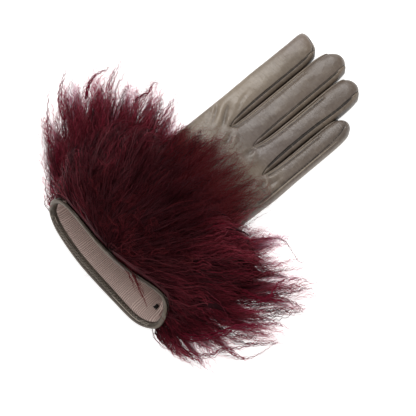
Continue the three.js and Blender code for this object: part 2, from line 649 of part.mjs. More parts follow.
// A loose lock: a tapering wavy horn with a four-sided section.
function looseLock({ share, depth, turn, reach, rise }, seed) {
  const form = LOOSE_FORM;
  const heading = THREE.MathUtils.degToRad(turn);
  const forward = at(Math.sin(heading), Math.cos(heading), 0);
  const aside = at(Math.cos(heading), -Math.sin(heading), 0);
  const root = standOff(Math.round(share * lastOuter), depth, form.off);
  const turned = Math.min(1, Math.abs(turn) / LOOSE_ENDS.turned);
  const drop = root.z - mix(LOOSE_ENDS.ahead, LOOSE_ENDS.aside, turned);
  const rows = [];
  for (let j = 0; j <= form.steps; j++) {
    const f = j / form.steps;
    const size = Math.max(form.point, (1 - f) ** form.taper);
    const sway = form.sway * Math.sin(f * form.waves + seed) * f;
    const spine = root.clone().addScaledVector(forward, reach * f).addScaledVector(aside, sway);
    spine.z += (rise + form.arch) * Math.sin(Math.PI * f ** form.early) - drop * f * f;
    const deep = form.deep * size;
    spine.z = Math.max(spine.z, backHeight(spine.x, spine.y) + CLEAR + deep, deep);
    const across = aside.clone().multiplyScalar(form.half * size);
    const up = at(0, 0, deep);
    const corners = [
      spine.clone().sub(across), spine.clone().sub(up), spine.clone().add(across), spine.clone().add(up),
    ];
    rows.push([...corners, corners[0]]);
  }
  const cap = (row) => row.map(() => row[0].clone().add(row[2]).multiplyScalar(0.5));
  return flipped(gridSheet([cap(rows[0]), ...rows, cap(rows[form.steps])]));
}

function furSolid() {
  let fur = solidOf(peltSheet());
  LOOSE.forEach((lock, seed) => { fur = fur.add(solidOf(looseLock(lock, seed))); });
  return fur;
}

// Materials, by what each piece is made of.
const leather = () => new THREE.MeshStandardMaterial({ color: 0x7d7367, roughness: 0.5, metalness: 0 });
const fur = () => new THREE.MeshStandardMaterial({ color: 0x3a101c, roughness: 0.8, metalness: 0 });
const knit = () => new THREE.MeshStandardMaterial({ color: 0x9e928a, roughness: 0.9, metalness: 0 });

const glove = new THREE.Group();
glove.name = "glove";
function piece(name, geometry, material) {
  const mesh = new THREE.Mesh(geometry, material);
  mesh.name = name;
  glove.add(mesh);
}

const insideHand = LEATHER + GAP;
const facing = sleeve([FACING_FROM, FACING_DEPTH], insideHand, insideHand + LEATHER);
const liningRows = [FACING_DEPTH + GAP, ...[2, 4, 5, 6].map((j) => j * ROW)];
const thumb = thumbSheet();
piece("trank", geometryOf(thicken(trankSheet, LEATHER, skin)), leather());
["index_middle", "middle_ring", "ring_little"].forEach((pair, i) =>
  piece("fourchette_" + pair, geometryOf(stripSolid(i)), leather()));
piece("thumb", geometryOf(thicken(thumb, LEATHER, directionsOf(thumb))), leather());
piece("rim_binding", geometryOf(bead()), leather());
piece("cuff_facing", geometryOf(facing), leather());
piece("lining", geometryOf(sleeve(liningRows, insideHand, insideHand + KNIT)), knit());
piece("fur_cuff", geometryOfSolid(furSolid()), fur());

// The origin is on the surface below, at the middle of the glove's box.
const box = new THREE.Box3().setFromObject(glove);
const middle = box.getCenter(new THREE.Vector3());
glove.position.set(-middle.x, -middle.y, -box.min.z);

export default glove;
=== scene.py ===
# %% [markdown]
# # A fur-trimmed leather glove
# This lesson dresses a packed glove for its portrait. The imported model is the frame: it says where
# every piece of leather, knit and fur lies, and the pieces made here take their places from it.

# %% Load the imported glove
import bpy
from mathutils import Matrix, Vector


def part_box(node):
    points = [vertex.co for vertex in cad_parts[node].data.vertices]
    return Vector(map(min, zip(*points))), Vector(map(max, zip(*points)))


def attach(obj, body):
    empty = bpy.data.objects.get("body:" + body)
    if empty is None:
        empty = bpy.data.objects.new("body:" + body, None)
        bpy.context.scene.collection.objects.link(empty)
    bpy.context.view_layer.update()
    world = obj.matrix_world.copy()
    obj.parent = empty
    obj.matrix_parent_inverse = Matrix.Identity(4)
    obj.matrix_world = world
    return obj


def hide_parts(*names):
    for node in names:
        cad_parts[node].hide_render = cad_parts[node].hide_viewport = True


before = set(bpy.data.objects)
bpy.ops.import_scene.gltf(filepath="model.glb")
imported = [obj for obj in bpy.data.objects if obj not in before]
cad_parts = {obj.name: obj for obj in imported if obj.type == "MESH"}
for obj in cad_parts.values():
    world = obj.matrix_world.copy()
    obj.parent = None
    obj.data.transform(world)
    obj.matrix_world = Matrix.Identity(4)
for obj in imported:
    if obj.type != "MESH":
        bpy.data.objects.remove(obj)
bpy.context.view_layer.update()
print("packed nodes:", sorted(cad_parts))

# %% [markdown]
# The other modules come next, and the one unit that the lesson speaks in. A glove is cut from a
# pattern, so places are given in pattern millimetres: X to the little finger, Y from the cuff's edge
# to the fingertips, Z up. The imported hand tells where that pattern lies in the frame.

# %% Modules and the pattern's place
import math

import bpy
import numpy as np
from mathutils import Vector, noise
from mathutils.bvhtree import BVHTree
from mathutils.kdtree import KDTree

MM = 0.001
HAND_MIDDLE, HAND_TOP = 0.02, 257.76  # the pattern's x at the hand's middle, and y at its longest tip
hand_low, hand_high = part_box("trank")
origin = np.array([(hand_low.x + hand_high.x) / 2 / MM - HAND_MIDDLE, hand_high.y / MM - HAND_TOP, 0])
print("the pattern's origin, in millimetres:", origin.round(3))


def in_frame(points):
    """Pattern millimetres to frame metres."""
    return (np.asarray(points, float) + origin) * MM


def in_pattern(points):
    """Frame metres to pattern millimetres."""
    return np.asarray(points, float) / MM - origin


# %% [markdown]
# The camera looks down at the glove from the cuff's left, as the photographer did. Its distance and
# lens give the picture's scale: three quarters of a millimetre to a pixel of a 416-pixel picture.

# %% Camera
AZIMUTH, ELEVATION = 47.8, 67.5  # degrees
DISTANCE, SCALE = 1600, 0.745  # millimetres, and millimetres to a pixel
PICTURE, SENSOR = 416, 36  # pixels, and millimetres
AIM = (13.8, 99, 0)  # the point on the table at the picture's middle

turn, rise = math.radians(AZIMUTH), math.radians(ELEVATION)
away = Vector((math.sin(turn) * math.cos(rise), -math.cos(turn) * math.cos(rise), math.sin(rise)))
bpy.ops.object.camera_add()
camera = bpy.context.object
camera.name = "portrait_camera"
camera.location = Vector(in_frame(AIM)) + away * DISTANCE * MM
camera.rotation_mode = "QUATERNION"
camera.rotation_quaternion = (-away).to_track_quat("-Z", "Y")
camera.data.sensor_width = SENSOR
camera.data.lens = SENSOR * DISTANCE / SCALE / PICTURE
camera.data.clip_start, camera.data.clip_end = 0.05, 20
bpy.context.scene.camera = camera
print("lens", round(camera.data.lens, 1), "mm")

# %% [markdown]
# A packshot is lit almost without shadows: a white table, walls of a slightly warm white, one large
# soft lamp that puts a gentle shine on the leather, and a weaker one across from it. The view
# transform stays plain, so white paper stays white.

# %% Table and light
bpy.ops.mesh.primitive_plane_add(size=6, location=(0, 0, -0.0002))
table = bpy.context.object
table.name = "white_table"

WALLS, WALL_STRENGTH = (1, 0.97, 0.935, 1), 0.56
world = bpy.data.worlds.new("white_room")
bpy.context.scene.world = world
world.use_nodes = True
world.node_tree.nodes["Background"].inputs["Color"].default_value = WALLS
world.node_tree.nodes["Background"].inputs["Strength"].default_value = WALL_STRENGTH


def soft_lamp(name, place, size, power):
    """A square lamp that faces the glove: its place and side in metres, and its power in watts."""
    bpy.ops.object.light_add(type="AREA", location=place)
    lamp = bpy.context.object
    lamp.name = name
    lamp.data.shape = "SQUARE"
    lamp.data.size = size
    lamp.data.energy = power
    lamp.rotation_mode = "QUATERNION"
    lamp.rotation_quaternion = (-Vector(place)).to_track_quat("-Z", "Y")


soft_lamp("window_lamp", (-0.75, 0.55, 1.0), 0.7, 11)
soft_lamp("fill_lamp", (0.8, 0.3, 1.3), 0.9, 3)
scene = bpy.context.scene
scene.view_settings.view_transform = "Standard"
scene.view_settings.look = "None"
scene.view_settings.exposure = 0

# %% [markdown]
# Leather, knit and fur are patterns that a formula can write. In Blender each sum of a formula is a
# node, and a long chain of them is hard to read. So the first tool is a Wire: a node's output that
# Python's own operators work on.


# %% A wire for sums
class Wire:
    """A node's output. Arithmetic on it adds Math nodes."""

    def __init__(self, finish, socket):
        self.finish, self.socket = finish, socket

    def maths(self, operation, *terms):
        return self.finish.add("ShaderNodeMath", {"operation": operation}, dict(enumerate(terms)))

    def __add__(self, other):
        return self.maths("ADD", self, other)

    def __sub__(self, other):
        return self.maths("SUBTRACT", self, other)

    def __rsub__(self, other):
        return self.maths("SUBTRACT", other, self)

    def __mul__(self, other):
        return self.maths("MULTIPLY", self, other)

    def __pow__(self, other):
        return self.maths("POWER", self, other)

    __radd__, __rmul__ = __add__, __mul__

    def sine(self):
        return self.maths("SINE", self)

    def between(self, start, end):
        """0 up to start, 1 from end on, and smooth between them."""
        settings = {"interpolation_type": "SMOOTHSTEP"}
        return self.finish.add("ShaderNodeMapRange", settings, {0: self, 1: start, 2: end})


# %% [markdown]
# The second tool is a Finish: a material whose add() brings in any other node, with its settings first
# and then its sockets. What several finishes need, such as soft noise or a relief, is a method of it.


# %% A finish
class Finish:
    """A material with its principled shader."""

    def __init__(self, name):
        self.material = bpy.data.materials.new(name)
        self.material.use_nodes = True
        self.tree = self.material.node_tree
        self.shader = self.tree.nodes["Principled BSDF"]

    def add(self, kind, settings=None, inputs=None, output=0):
        """Adds a node: its settings, then the values or links of its sockets."""
        node = self.tree.nodes.new(kind)
        for key, value in (settings or {}).items():
            if key == "stops":
                ramp = node.color_ramp
                while len(ramp.elements) < len(value):
                    ramp.elements.new(0.5)
                for stop, (place, colour) in zip(ramp.elements, value):
                    stop.position, stop.color = place, (*colour, 1)
            else:
                setattr(node, key, value)
        self.plug(node, inputs or {})
        return Wire(self, node.outputs[output])

    def plug(self, node, inputs):
        """Fills a node's sockets: a Wire is linked, and a value is set."""
        for key, value in inputs.items():
            if isinstance(value, Wire):
                self.tree.links.new(value.socket, node.inputs[key])
            else:
                node.inputs[key].default_value = value

    def surface(self, **sockets):
        """Sets or links the shader's own sockets, with _ for a space in their names."""
        self.plug(self.shader, {key.replace("_", " "): value for key, value in sockets.items()})

    def place(self):
        """The object's own coordinates, in metres."""
        return self.add("ShaderNodeTexCoord", output="Object")

    def along(self, axis):
        """One of those coordinates."""
        return self.add("ShaderNodeSeparateXYZ", inputs={0: self.place()}, output=axis)

    def value_of(self, attribute):
        """A number kept on the mesh's points."""
        return self.add("ShaderNodeAttribute", {"attribute_name": attribute}, output="Fac")

    def cloud(self, size, detail, vector=None, roughness=0.5):
        """Soft noise whose patches are about so many metres across."""
        inputs = {"Vector": vector or self.place(), "Scale": 1 / size, "Detail": detail}
        return self.add("ShaderNodeTexNoise", inputs={**inputs, "Roughness": roughness})

    def blend(self, share, first, second):
        """Two colours, mixed by share."""
        colours = [c if isinstance(c, Wire) else (*c, 1) for c in (first, second)]
        inputs = {0: share, 6: colours[0], 7: colours[1]}
        return self.add("ShaderNodeMix", {"data_type": "RGBA"}, inputs, output=2)

    def relief(self, height, depth, strength=1.0, under=None):
        """A bump whose full height is depth metres."""
        inputs = {"Height": height, "Distance": depth, "Strength": strength}
        if under:
            inputs["Normal"] = under
        return self.add("ShaderNodeBump", inputs=inputs)


# %% [markdown]
# The first finish is the table's. In a packshot the paper is white all over, with faint shadows. Two
# lamps would light a white surface unevenly, so this one is grey and gives off light of its own.

# %% White paper
PAPER, GLOW = (0.6, 0.6, 0.6, 1), 0.82
paper = Finish("white_paper")
paper.surface(Base_Color=PAPER, Roughness=0.9)
paper.surface(Emission_Color=(1, 1, 1, 1), Emission_Strength=GLOW)
table.data.materials.append(paper.material)
print("the table's finish:", paper.material.name)

# %% [markdown]
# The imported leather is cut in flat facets, good for a solid but not for a portrait. Each node gets a
# smooth copy: its loose triangles are merged, paired into quads, and rounded by subdivision. The
# copy stands where the node stands, and the node itself is left alone and hidden.


# %% Tools for meshes
def only(piece):
    """Selects one object and nothing else."""
    bpy.ops.object.select_all(action="DESELECT")
    piece.select_set(True)
    bpy.context.view_layer.objects.active = piece


MERGE = 1e-6  # metres; points nearer to each other than that become one
PAIRING = 0.9  # radians that two triangles may be out of true and still make a quad


def smooth_copy(node, name, rounds=2):
    """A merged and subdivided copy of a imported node."""
    piece = bpy.data.objects.new(name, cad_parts[node].data.copy())
    bpy.context.scene.collection.objects.link(piece)
    piece.data.name = name
    piece.data.materials.clear()
    only(piece)
    if piece.data.has_custom_normals:
        bpy.ops.mesh.customdata_custom_splitnormals_clear()
    bpy.ops.object.mode_set(mode="EDIT")
    bpy.ops.mesh.select_all(action="SELECT")
    bpy.ops.mesh.remove_doubles(threshold=MERGE)
    bpy.ops.mesh.tris_convert_to_quads(face_threshold=PAIRING, shape_threshold=PAIRING)
    bpy.ops.object.mode_set(mode="OBJECT")
    rounding = piece.modifiers.new("rounding", "SUBSURF")
    rounding.levels = rounding.render_levels = rounds
    bpy.ops.object.modifier_apply(modifier=rounding.name)
    bpy.ops.object.shade_smooth()
    return piece


def points_of(piece):
    """The mesh's points in pattern millimetres."""
    flat = np.empty(len(piece.data.vertices) * 3)
    piece.data.vertices.foreach_get("co", flat)
    return in_pattern(flat.reshape(-1, 3))


def move_to(piece, points):
    """Puts the mesh's points at places in pattern millimetres."""
    piece.data.vertices.foreach_set("co", in_frame(points).ravel())
    piece.data.update()


def keep_value(piece, name, values):
    """Keeps a number for every point, for a finish to read."""
    attribute = piece.data.attributes.new(name, "FLOAT", "POINT")
    attribute.data.foreach_set("value", np.asarray(values, np.float32))


def finish_piece(piece, finish, slot, *nodes):
    """Gives a piece its finish, its place on the glove and the nodes that it stands for."""
    piece.data.materials.append(finish.material)
    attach(piece, "root")
    if nodes:
        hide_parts(*nodes)
    print(piece.name, len(piece.data.polygons), "faces")


print("packed pieces to dress:", len(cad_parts))

# %% [markdown]
# Seams, creases, painted highlights and painted shade are all told by where a point lies. These
# helpers measure that: a soft step between two values, how far points are from a line, what lies
# straight under a place, and soft noise for what follows no rule.


# %% Measures
def fade(values, start, end):
    """0 up to start, 1 from end on, and smooth between them."""
    t = np.clip((np.asarray(values, float) - start) / (end - start), 0, 1)
    return t * t * (3 - 2 * t)


def off_line(points, start, end):
    """How far points lie from a line between two places, and how far along it, from 0 to 1."""
    start, end = np.asarray(start, float), np.asarray(end, float)
    run = end - start
    t = np.clip((points - start) @ run / (run @ run), 0, 1)
    return np.linalg.norm(points - start - t[:, None] * run, axis=1), t


def off_run(points, places):
    """How far points lie from a line through places, and how far along it, from 0 to 1."""
    lengths = np.linalg.norm(np.diff(places, axis=0), axis=1)
    far, along = np.full(len(points), np.inf), np.zeros(len(points))
    for k, (start, end) in enumerate(zip(places, places[1:])):
        away_from, share = off_line(points, start, end)
        nearer = away_from < far
        far = np.minimum(far, away_from)
        along[nearer] = (lengths[:k].sum() + share[nearer] * lengths[k]) / lengths.sum()
    return far, along


def plumb(tree, x, y, height):
    """Where a plumb line, dropped from a height over x and y, meets a piece, or None."""
    hit = tree.ray_cast(Vector(in_frame((x, y, height))), Vector((0, 0, -1)))[0]
    return in_pattern(hit) if hit else None


def unevenness(points, size, seed):
    """Soft noise from -1 to 1, with bumps of about that many millimetres."""
    return np.array([noise.noise(Vector(p) / size + Vector((seed, seed, seed))) for p in points])


# %% [markdown]
# Nappa is a smooth lambskin. Its colour drifts softly from patch to patch, its grain is finer than
# the eye sees at arm's length, and next to a seam the stitches draw it into small puckers across the
# seam. The finish reads from the mesh how far each point is from a seam, in millimetres, how it lies
# in a crease, and how much painted highlight and painted shade lie on it, the darkest painted shade
# deep between two fingers. Creases and fine lines get painted highlight on their ridges and painted
# shade in their hollows. Each tone is laid over the ones before it, and each relief is carried by
# the ones before it.


# %% Leather finish
def shade(red, green, blue):
    """A colour given as on a screen, from 0 to 255, as light."""
    parts = [c / 255 for c in (red, green, blue)]
    return tuple(c / 12.92 if c <= 0.04045 else ((c + 0.055) / 1.055) ** 2.4 for c in parts)


TAUPE = (109, 95, 81), (89, 77, 66), (104, 90, 85)  # two tones in patches, and a mauve one over them
PUCKER = 0.0026  # metres from one pucker to the next


def nappa(name, light=1.0):
    """Taupe lambskin with a soft sheen, so many times as light as the back's."""
    finish = Finish(name)
    seam, fold = finish.value_of("seam"), finish.value_of("fold")
    patches = finish.cloud(0.03, 3).between(0.35, 0.7)
    mauve = finish.cloud(0.042, 2).between(0.48, 0.72)
    worn = finish.cloud(0.003, 3, roughness=0.65).between(0.35, 0.75)
    stitched = 1 - seam.between(0.15, 0.65)
    stretch = {0: finish.place(), 1: (0.3, 1, 0.5)}
    drawn_out = finish.add("ShaderNodeVectorMath", {"operation": "MULTIPLY"}, stretch)
    crossed = finish.cloud(0.0016, 3, drawn_out, 0.6)
    first, second, third = (tuple(c * light for c in shade(*rgb)) for rgb in TAUPE)
    colour = finish.blend(mauve * 0.55, finish.blend(patches, first, second), third)
    for share, rgb in (
        (worn * 0.2, (150, 141, 128)),
        # painted highlight and painted shade, as the hand's points keep them
        (finish.value_of("pale"), (160, 147, 130)),
        (finish.value_of("dusk"), (84, 73, 68)),
        # a crease gets a painted highlight on its shoulders and painted shade in its groove
        (fold.between(0.1, 0.9) * 0.3, (165, 153, 137)),  # a crease's shoulders
        ((0 - fold).between(0.2, 1.4) * 0.5, (66, 58, 52)),  # its groove
        (stitched * 0.95, (26, 21, 19)),
        # the fine lines get a painted highlight where they rise and painted shade where they sink
        (crossed.between(0.5, 0.85) * 0.22, (166, 155, 140)),  # fine lines across the fingers
        ((1 - crossed).between(0.5, 0.85) * 0.25, (70, 62, 56)),
        # painted shade deep between two fingers
        (finish.value_of("deep"), (24, 20, 18)),
    ):
        colour = finish.blend(share, colour, shade(*rgb))
    waves = (finish.along("Y") * (2 * math.pi / PUCKER) + finish.cloud(0.004, 1) * 9).sine()
    normal = None
    for height, depth, strength in (
        (finish.cloud(0.0075, 2, roughness=0.4), 0.0011, 0.5),  # soft unevenness
        (waves * (1 - seam.between(0.8, 3.2)), 0.0001, 0.8),  # puckers
        (seam.between(0.1, 1.6), 0.0004, 0.9),  # leather sinks towards its seams
        (finish.cloud(0.0011, 3, roughness=0.6), 0.0002, 0.6),  # grain
        (crossed, 0.00032, 0.8),
    ):
        normal = finish.relief(height, depth, strength, normal)
    roughness = 0.3 + 0.16 * finish.cloud(0.012, 2) + 0.4 * stitched
    finish.surface(Base_Color=colour, Roughness=roughness, Normal=normal)
    finish.surface(Specular_IOR_Level=0.5)
    return finish


back_leather = nappa("taupe_nappa")
print("leather:", back_leather.material.name)

# %% [markdown]
# A glove is sewn along the fingers. The strips between the fingers meet the back along two seams a
# finger, and near the tips each seam runs on over the top. Their places are kept as lines, and every
# point of the leather keeps its distance from the nearest of them.

# %% Seams of the back
TIP_SEAMS = [  # runs of points, x and y in pattern millimetres, that go over the fingertips
    [(-24.2, 236), (-24.6, 241), (-27.5, 244.4), (-32, 245.9), (-37.2, 246.6), (-41.5, 247.2),
     (-43.6, 247)],
    [(40.5, 124), (40.8, 150), (40.9, 180), (40.4, 200), (39, 211), (36.6, 217.6), (34, 219.8)],
]
SIDE_HEIGHTS = (  # along the hand, and how high its side is there, halfway from palm to back
    [0, 25, 50, 75, 95, 115, 135, 155, 180],
    [14, 13.5, 12.5, 11.5, 10.5, 9.5, 8.5, 7.2, 6.8],
)
STRIPS = ["fourchette_index_middle", "fourchette_middle_ring", "fourchette_ring_little"]
SEAM_REACH = 25.0  # millimetres; no point counts as further from a seam than that


def seam_distance(points, runs):
    """Millimetres from each point to the nearest seam of the back: the strips' edges and these runs."""
    edge = [v.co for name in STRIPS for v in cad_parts[name].data.vertices]
    tree = KDTree(len(edge))
    for i, p in enumerate(edge):
        tree.insert(in_pattern(p), i)
    tree.balance()
    found = np.array([tree.find(p)[2] for p in points])
    top = fade(points[:, 2], 2.5, 4.5)
    for run in runs:
        far, _ = off_run(points[:, :2], run)
        found = np.minimum(found, far + SEAM_REACH * (1 - top))
    return np.minimum(found, SEAM_REACH)


def above_side(points):
    """0 on the palm's half of the hand, 1 on its back, and smooth between them."""
    side = np.interp(points[:, 1], *SIDE_HEIGHTS)
    return fade(points[:, 2] - side, -0.5, 3)


print(len(TIP_SEAMS), "tip seams and", len(STRIPS), "strips")

# %% [markdown]
# An empty glove keeps the folds of the hand that wore it. Five creases cross the foot of the index
# finger, and dips run from the crotches into the back. Each passes a few places and has a width and a
# depth. A crease in leather is a groove between two low shoulders, and it fades out at both ends.

# %% Creases
CREASES = [  # the places that a crease passes, x and y, then its width and its depth
    ([(-29, 131), (-36, 145), (-42.8, 153.5)], 1.3, 0.7),
    ([(-27.5, 138), (-36.5, 153), (-42.6, 161.5)], 1.4, 0.8),
    ([(-20.9, 143.6), (-30.6, 157.5), (-37.4, 168)], 1.9, 1.15),
    ([(-25.3, 154.7), (-31.6, 165.6)], 1.2, 0.5),
    ([(-24.4, 162), (-29.8, 172), (-33.6, 181)], 1.4, 0.6),
    ([(-17.7, 150.8), (-12.7, 144.2), (-9.2, 136)], 2.1, 1.0),
    ([(4.2, 152.5), (6.4, 144.5)], 2.0, 0.9),
    ([(27, 142), (32.8, 136.6), (41, 133.4)], 1.9, 0.9),
    ([(39.2, 142.6), (41.4, 156)], 1.6, 0.6),
    ([(33.6, 139.8), (37.4, 152)], 2.2, 0.6),
]
CREASE_STRENGTH, CREASE_END = 1.5, 0.35  # CREASE_END is the share of its run that it fades over
SHOULDER, SHOULDER_AT, SHOULDER_WIDTH = 0.45, 1.7, 0.8  # of its depth, and twice of its width


def folds(points):
    """How far the creases move each point: below 0 in a groove, above it on a shoulder."""
    height = np.zeros(len(points))
    for places, width, depth in CREASES:
        far, along = off_run(points[:, :2], places)
        groove = np.exp(-((far / width) ** 2))
        shoulder = np.exp(-(((far - SHOULDER_AT * width) / (SHOULDER_WIDTH * width)) ** 2))
        lift = CREASE_STRENGTH * depth * (SHOULDER * shoulder - groove)
        height += lift * fade(along, 0, CREASE_END) * (1 - fade(along, 1 - CREASE_END, 1))
    return height * above_side(points)


INDEX_CORNER = (-1.4, 2.6)  # how far the outer corner of the index fingertip moves, in x and y


def creased(points):
    """The hand's points with its folds, its soft unevenness and the squared tip of the index finger."""
    moved = points.copy()
    top = above_side(points)
    moved[:, 2] += folds(points)
    corner = fade(points[:, 1], 232, 245) * fade(-points[:, 0], 25, 42)
    moved[:, :2] += corner[:, None] * INDEX_CORNER
    slack = fade(points[:, 1], 100, 130)
    moved[:, 2] += 0.55 * unevenness(points, 16, 3.1) * top * slack
    moved[:, 2] += 0.3 * unevenness(points, 7, 8.7) * top * slack
    moved[:, 0] += 0.35 * unevenness(points, 24, 5.3) * slack
    return moved


print(len(CREASES), "creases")

# %% [markdown]
# On the middle, ring and little finger the seam that shows is the left one, where the back's edge
# stands over the strip. The camera looks in from the side, so that edge is found as the camera sees
# it: rays in the camera's direction walk to the left until they leave the back of the finger.

# %% Edges of the fingers
EDGE_HEIGHT = 9  # millimetres; below that a finger's side belongs to its strip
WELT_INSET, SEAM_INSET = 0.7, 1.9  # millimetres from the edge to the welt and to its seam


def seen(tree, x, y):
    """Where the camera, looking at a place 4 mm above the table, sees the hand, or None."""
    hit = tree.ray_cast(Vector(in_frame((x, y, 4))) + away * 0.3, -away)[0]
    return in_pattern(hit) if hit else None


def left_edge(tree, x, start, end):
    """A finger's left edge as the camera sees it: places just inside it, and the seam beside them."""
    ridge, beside = [], []
    for y in np.arange(start, end, 3.0):
        across = np.arange(x, x - 14, -0.2)
        found = [seen(tree, at, y) for at in across]
        past = (i for i, p in enumerate(found) if p is None or p[2] < EDGE_HEIGHT)
        edge = across[next(past, len(found)) - 1]
        ridge.append(seen(tree, edge + WELT_INSET, y))
        beside.append(seen(tree, edge + SEAM_INSET, y))
    return np.array(ridge), np.array(beside)


hand = smooth_copy("trank", "hand_leather")
hand_points = points_of(hand)
hand_tree = BVHTree.FromObject(hand, bpy.context.evaluated_depsgraph_get())
FINGER_LEFTS = {  # an x on the finger's back, and the y where its left edge starts and ends
    "middle": (-11, 155, 228), "ring": (14, 154, 225), "little": (37, 148, 200),
}
edges = {name: left_edge(hand_tree, *span) for name, span in FINGER_LEFTS.items()}
print("places along the edges:", {name: len(ridge) for name, (ridge, _) in edges.items()})

# %% [markdown]
# Now the hand itself. Its finish needs a few numbers at every point: how far the nearest seam is, how
# the creases lie, where a painted highlight stands for the lamp's shine on the index finger, and
# where painted shade darkens the other fingers, as they turn away from the lamp, and the back, which
# lies in the fur's shade.

# %% The hand
runs = TIP_SEAMS + [[tuple(p[:2]) for p in beside] for _, beside in edges.values()]
keep_value(hand, "seam", seam_distance(hand_points, runs))
keep_value(hand, "fold", folds(hand_points))
on_back = above_side(hand_points)
hand_x, hand_y = hand_points[:, 0], hand_points[:, 1]
# painted highlight: along the index finger, and a small one at the foot of the little finger
lit = np.exp(-((hand_x + 35) / 12) ** 2) * fade(hand_y, 125, 165)  # along the index finger
lit *= 1.3 - 1.1 * fade(hand_y, 195, 240)
lit += 0.7 * np.exp(-((hand_x - 31.5) / 2.2) ** 2 - ((hand_y - 155.5) / 3.2) ** 2)  # by a crotch
keep_value(hand, "pale", 0.36 * lit * on_back)
# painted shade: over the middle, ring and little fingers, and on the back near the fur
dim = (0.46 + 0.16 * np.exp(-((hand_x - 15) / 9) ** 2)) * fade(hand_x, -24, -16) * fade(hand_y, 140, 165)
dim += 0.6 * (1 - fade(hand_y, 100, 150)) * fade(hand_x, -35, -5)  # the back, near the fur
keep_value(hand, "dusk", np.clip(dim, 0, 0.7) * on_back)
move_to(hand, creased(hand_points))
finish_piece(hand, back_leather, "leather", "trank")

# %% [markdown]
# The strips and the thumb are dressed in the same way. A strip is sewn to the back along its upper
# edge, so its distance from the seam grows downwards, and painted shade darkens it deep between two
# fingers. The thumb shows no seam.

# %% Strips and thumb
STRIP_TOP = 12.15  # millimetres; the height of the strips' upper edges


def upper_edge(points):
    """A strip's seam distance: it is sewn to the back along its upper edge."""
    return 0.1 + 2.6 * np.maximum(0, STRIP_TOP - points[:, 2])


def no_seam(points):
    """So far from a seam that the finish draws nothing of it."""
    return np.full(len(points), 20.0)


def leather_piece(node, name, finish, seam=no_seam, swell=0.0):
    """A smooth copy of a node in leather, swollen a little to meet its neighbours at the seams."""
    piece = smooth_copy(node, name)
    if swell:
        bpy.ops.object.mode_set(mode="EDIT")
        bpy.ops.mesh.select_all(action="SELECT")
        bpy.ops.transform.shrink_fatten(value=swell * MM)
        bpy.ops.object.mode_set(mode="OBJECT")
    keep_value(piece, "seam", seam(points_of(piece)))
    finish_piece(piece, finish, "leather", node)
    return piece


side_leather = nappa("taupe_nappa_strips", 1.12)
for strip in STRIPS:
    piece = leather_piece(strip, strip.replace("fourchette", "strip"), side_leather, upper_edge, 0.4)
    at = points_of(piece)
    open_end = 1 - 0.5 * fade(at[:, 1], 215, 240)  # light reaches in between the fingertips
    # painted shade in the gap between two fingers, weaker towards the tips
    keep_value(piece, "deep", 0.9 * (1 - fade(at[:, 2], 8.6, 10.8)) * open_end)
leather_piece("thumb", "thumb_leather", back_leather)

# %% [markdown]
# Where the back is sewn to a strip, its edge stands up a little as a welt, a thin roll that catches
# the light. It follows the finger's left edge, which the camera sees over the strip, and one runs
# along the outer side of the little finger.

# %% Welts
WELT, WELT_RISE = 0.45, 0.15  # millimetres: its radius, and how far it is lifted


def evened(line, rounds=1):
    """A line with its small kinks smoothed out. Its ends stay."""
    for _ in range(rounds):
        line[1:-1] = (line[:-2] + 2 * line[1:-1] + line[2:]) / 4
    return line


def welt(name, line, radius, finish, slot="leather"):
    """A thin roll along a line, which thins out at both ends."""
    curve = bpy.data.curves.new(name, "CURVE")
    curve.dimensions = "3D"
    curve.bevel_depth, curve.bevel_resolution, curve.use_fill_caps = radius * MM, 2, True
    run = curve.splines.new("POLY")
    run.points.add(len(line) - 1)
    swelling = np.sin(np.pi * np.clip(np.linspace(0, 1, len(line)), 0.04, 0.96)) ** 0.4
    for point, place, thick in zip(run.points, in_frame(line), swelling):
        point.co, point.radius = (*place, 1), thick
    piece = bpy.data.objects.new(name, curve)
    bpy.context.scene.collection.objects.link(piece)
    only(piece)
    bpy.ops.object.convert(target="MESH")
    piece = bpy.context.object
    piece.data.materials.clear()
    bpy.ops.object.shade_smooth()
    keep_value(piece, "seam", np.full(len(piece.data.vertices), 2.0))
    # a painted highlight along the welt, for a leather finish to read
    keep_value(piece, "pale", np.full(len(piece.data.vertices), 0.5))
    finish_piece(piece, finish, slot)


outer = zip(np.linspace(41.9, 42, 27), np.arange(126, 207, 3.0))
edges["outer_side"] = (np.array([plumb(hand_tree, x, y, 40) for x, y in outer]), None)
for name, (ridge, _) in edges.items():
    welt(f"welt_{name}", evened(creased(ridge)) + (0, 0, WELT_RISE), WELT, side_leather)

# %% [markdown]
# The mouth's edge is rolled, and a line of stitches runs along the roll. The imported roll, band and
# lining each form a ring, so a place on a ring is told by its angle round the mouth and by its depth
# behind the ring's front.

# %% Rolled edge and the band inside it
SECTORS = 90
MOUTH_X, MOUTH_Z, MOUTH_WIDE, MOUTH_HIGH = 1, 17, 60, 14  # the mouth's middle, and its half sizes


def around_mouth(points):
    """The angle round the mouth from the middle of its back, as a count of sectors."""
    angle = np.arctan2((points[:, 0] - MOUTH_X) / MOUTH_WIDE, (MOUTH_Z - points[:, 2]) / MOUTH_HIGH)
    return (angle + math.pi) / (2 * math.pi) * SECTORS


def ring_level(points, share):
    """For each point, the y of its ring there: 0 for the front, 1 for the far end."""
    sector = around_mouth(points).astype(int) % SECTORS
    low, high = np.full(SECTORS, 1e3), np.full(SECTORS, -1e3)
    np.minimum.at(low, sector, points[:, 1])
    np.maximum.at(high, sector, points[:, 1])
    level = low + share * (high - low)
    level = (np.roll(level, 1) + 2 * level + np.roll(level, -1)) / 4
    ends = np.concatenate([level[-1:], level, level[:1]])
    return np.interp(around_mouth(points), np.arange(-1, SECTORS + 1) + 0.5, ends)


def roll_seam(points):
    """Millimetres from the stitched line, which lies behind the middle of the roll."""
    return np.abs(points[:, 1] - ring_level(points, 0.5) - 0.25) * 1.3


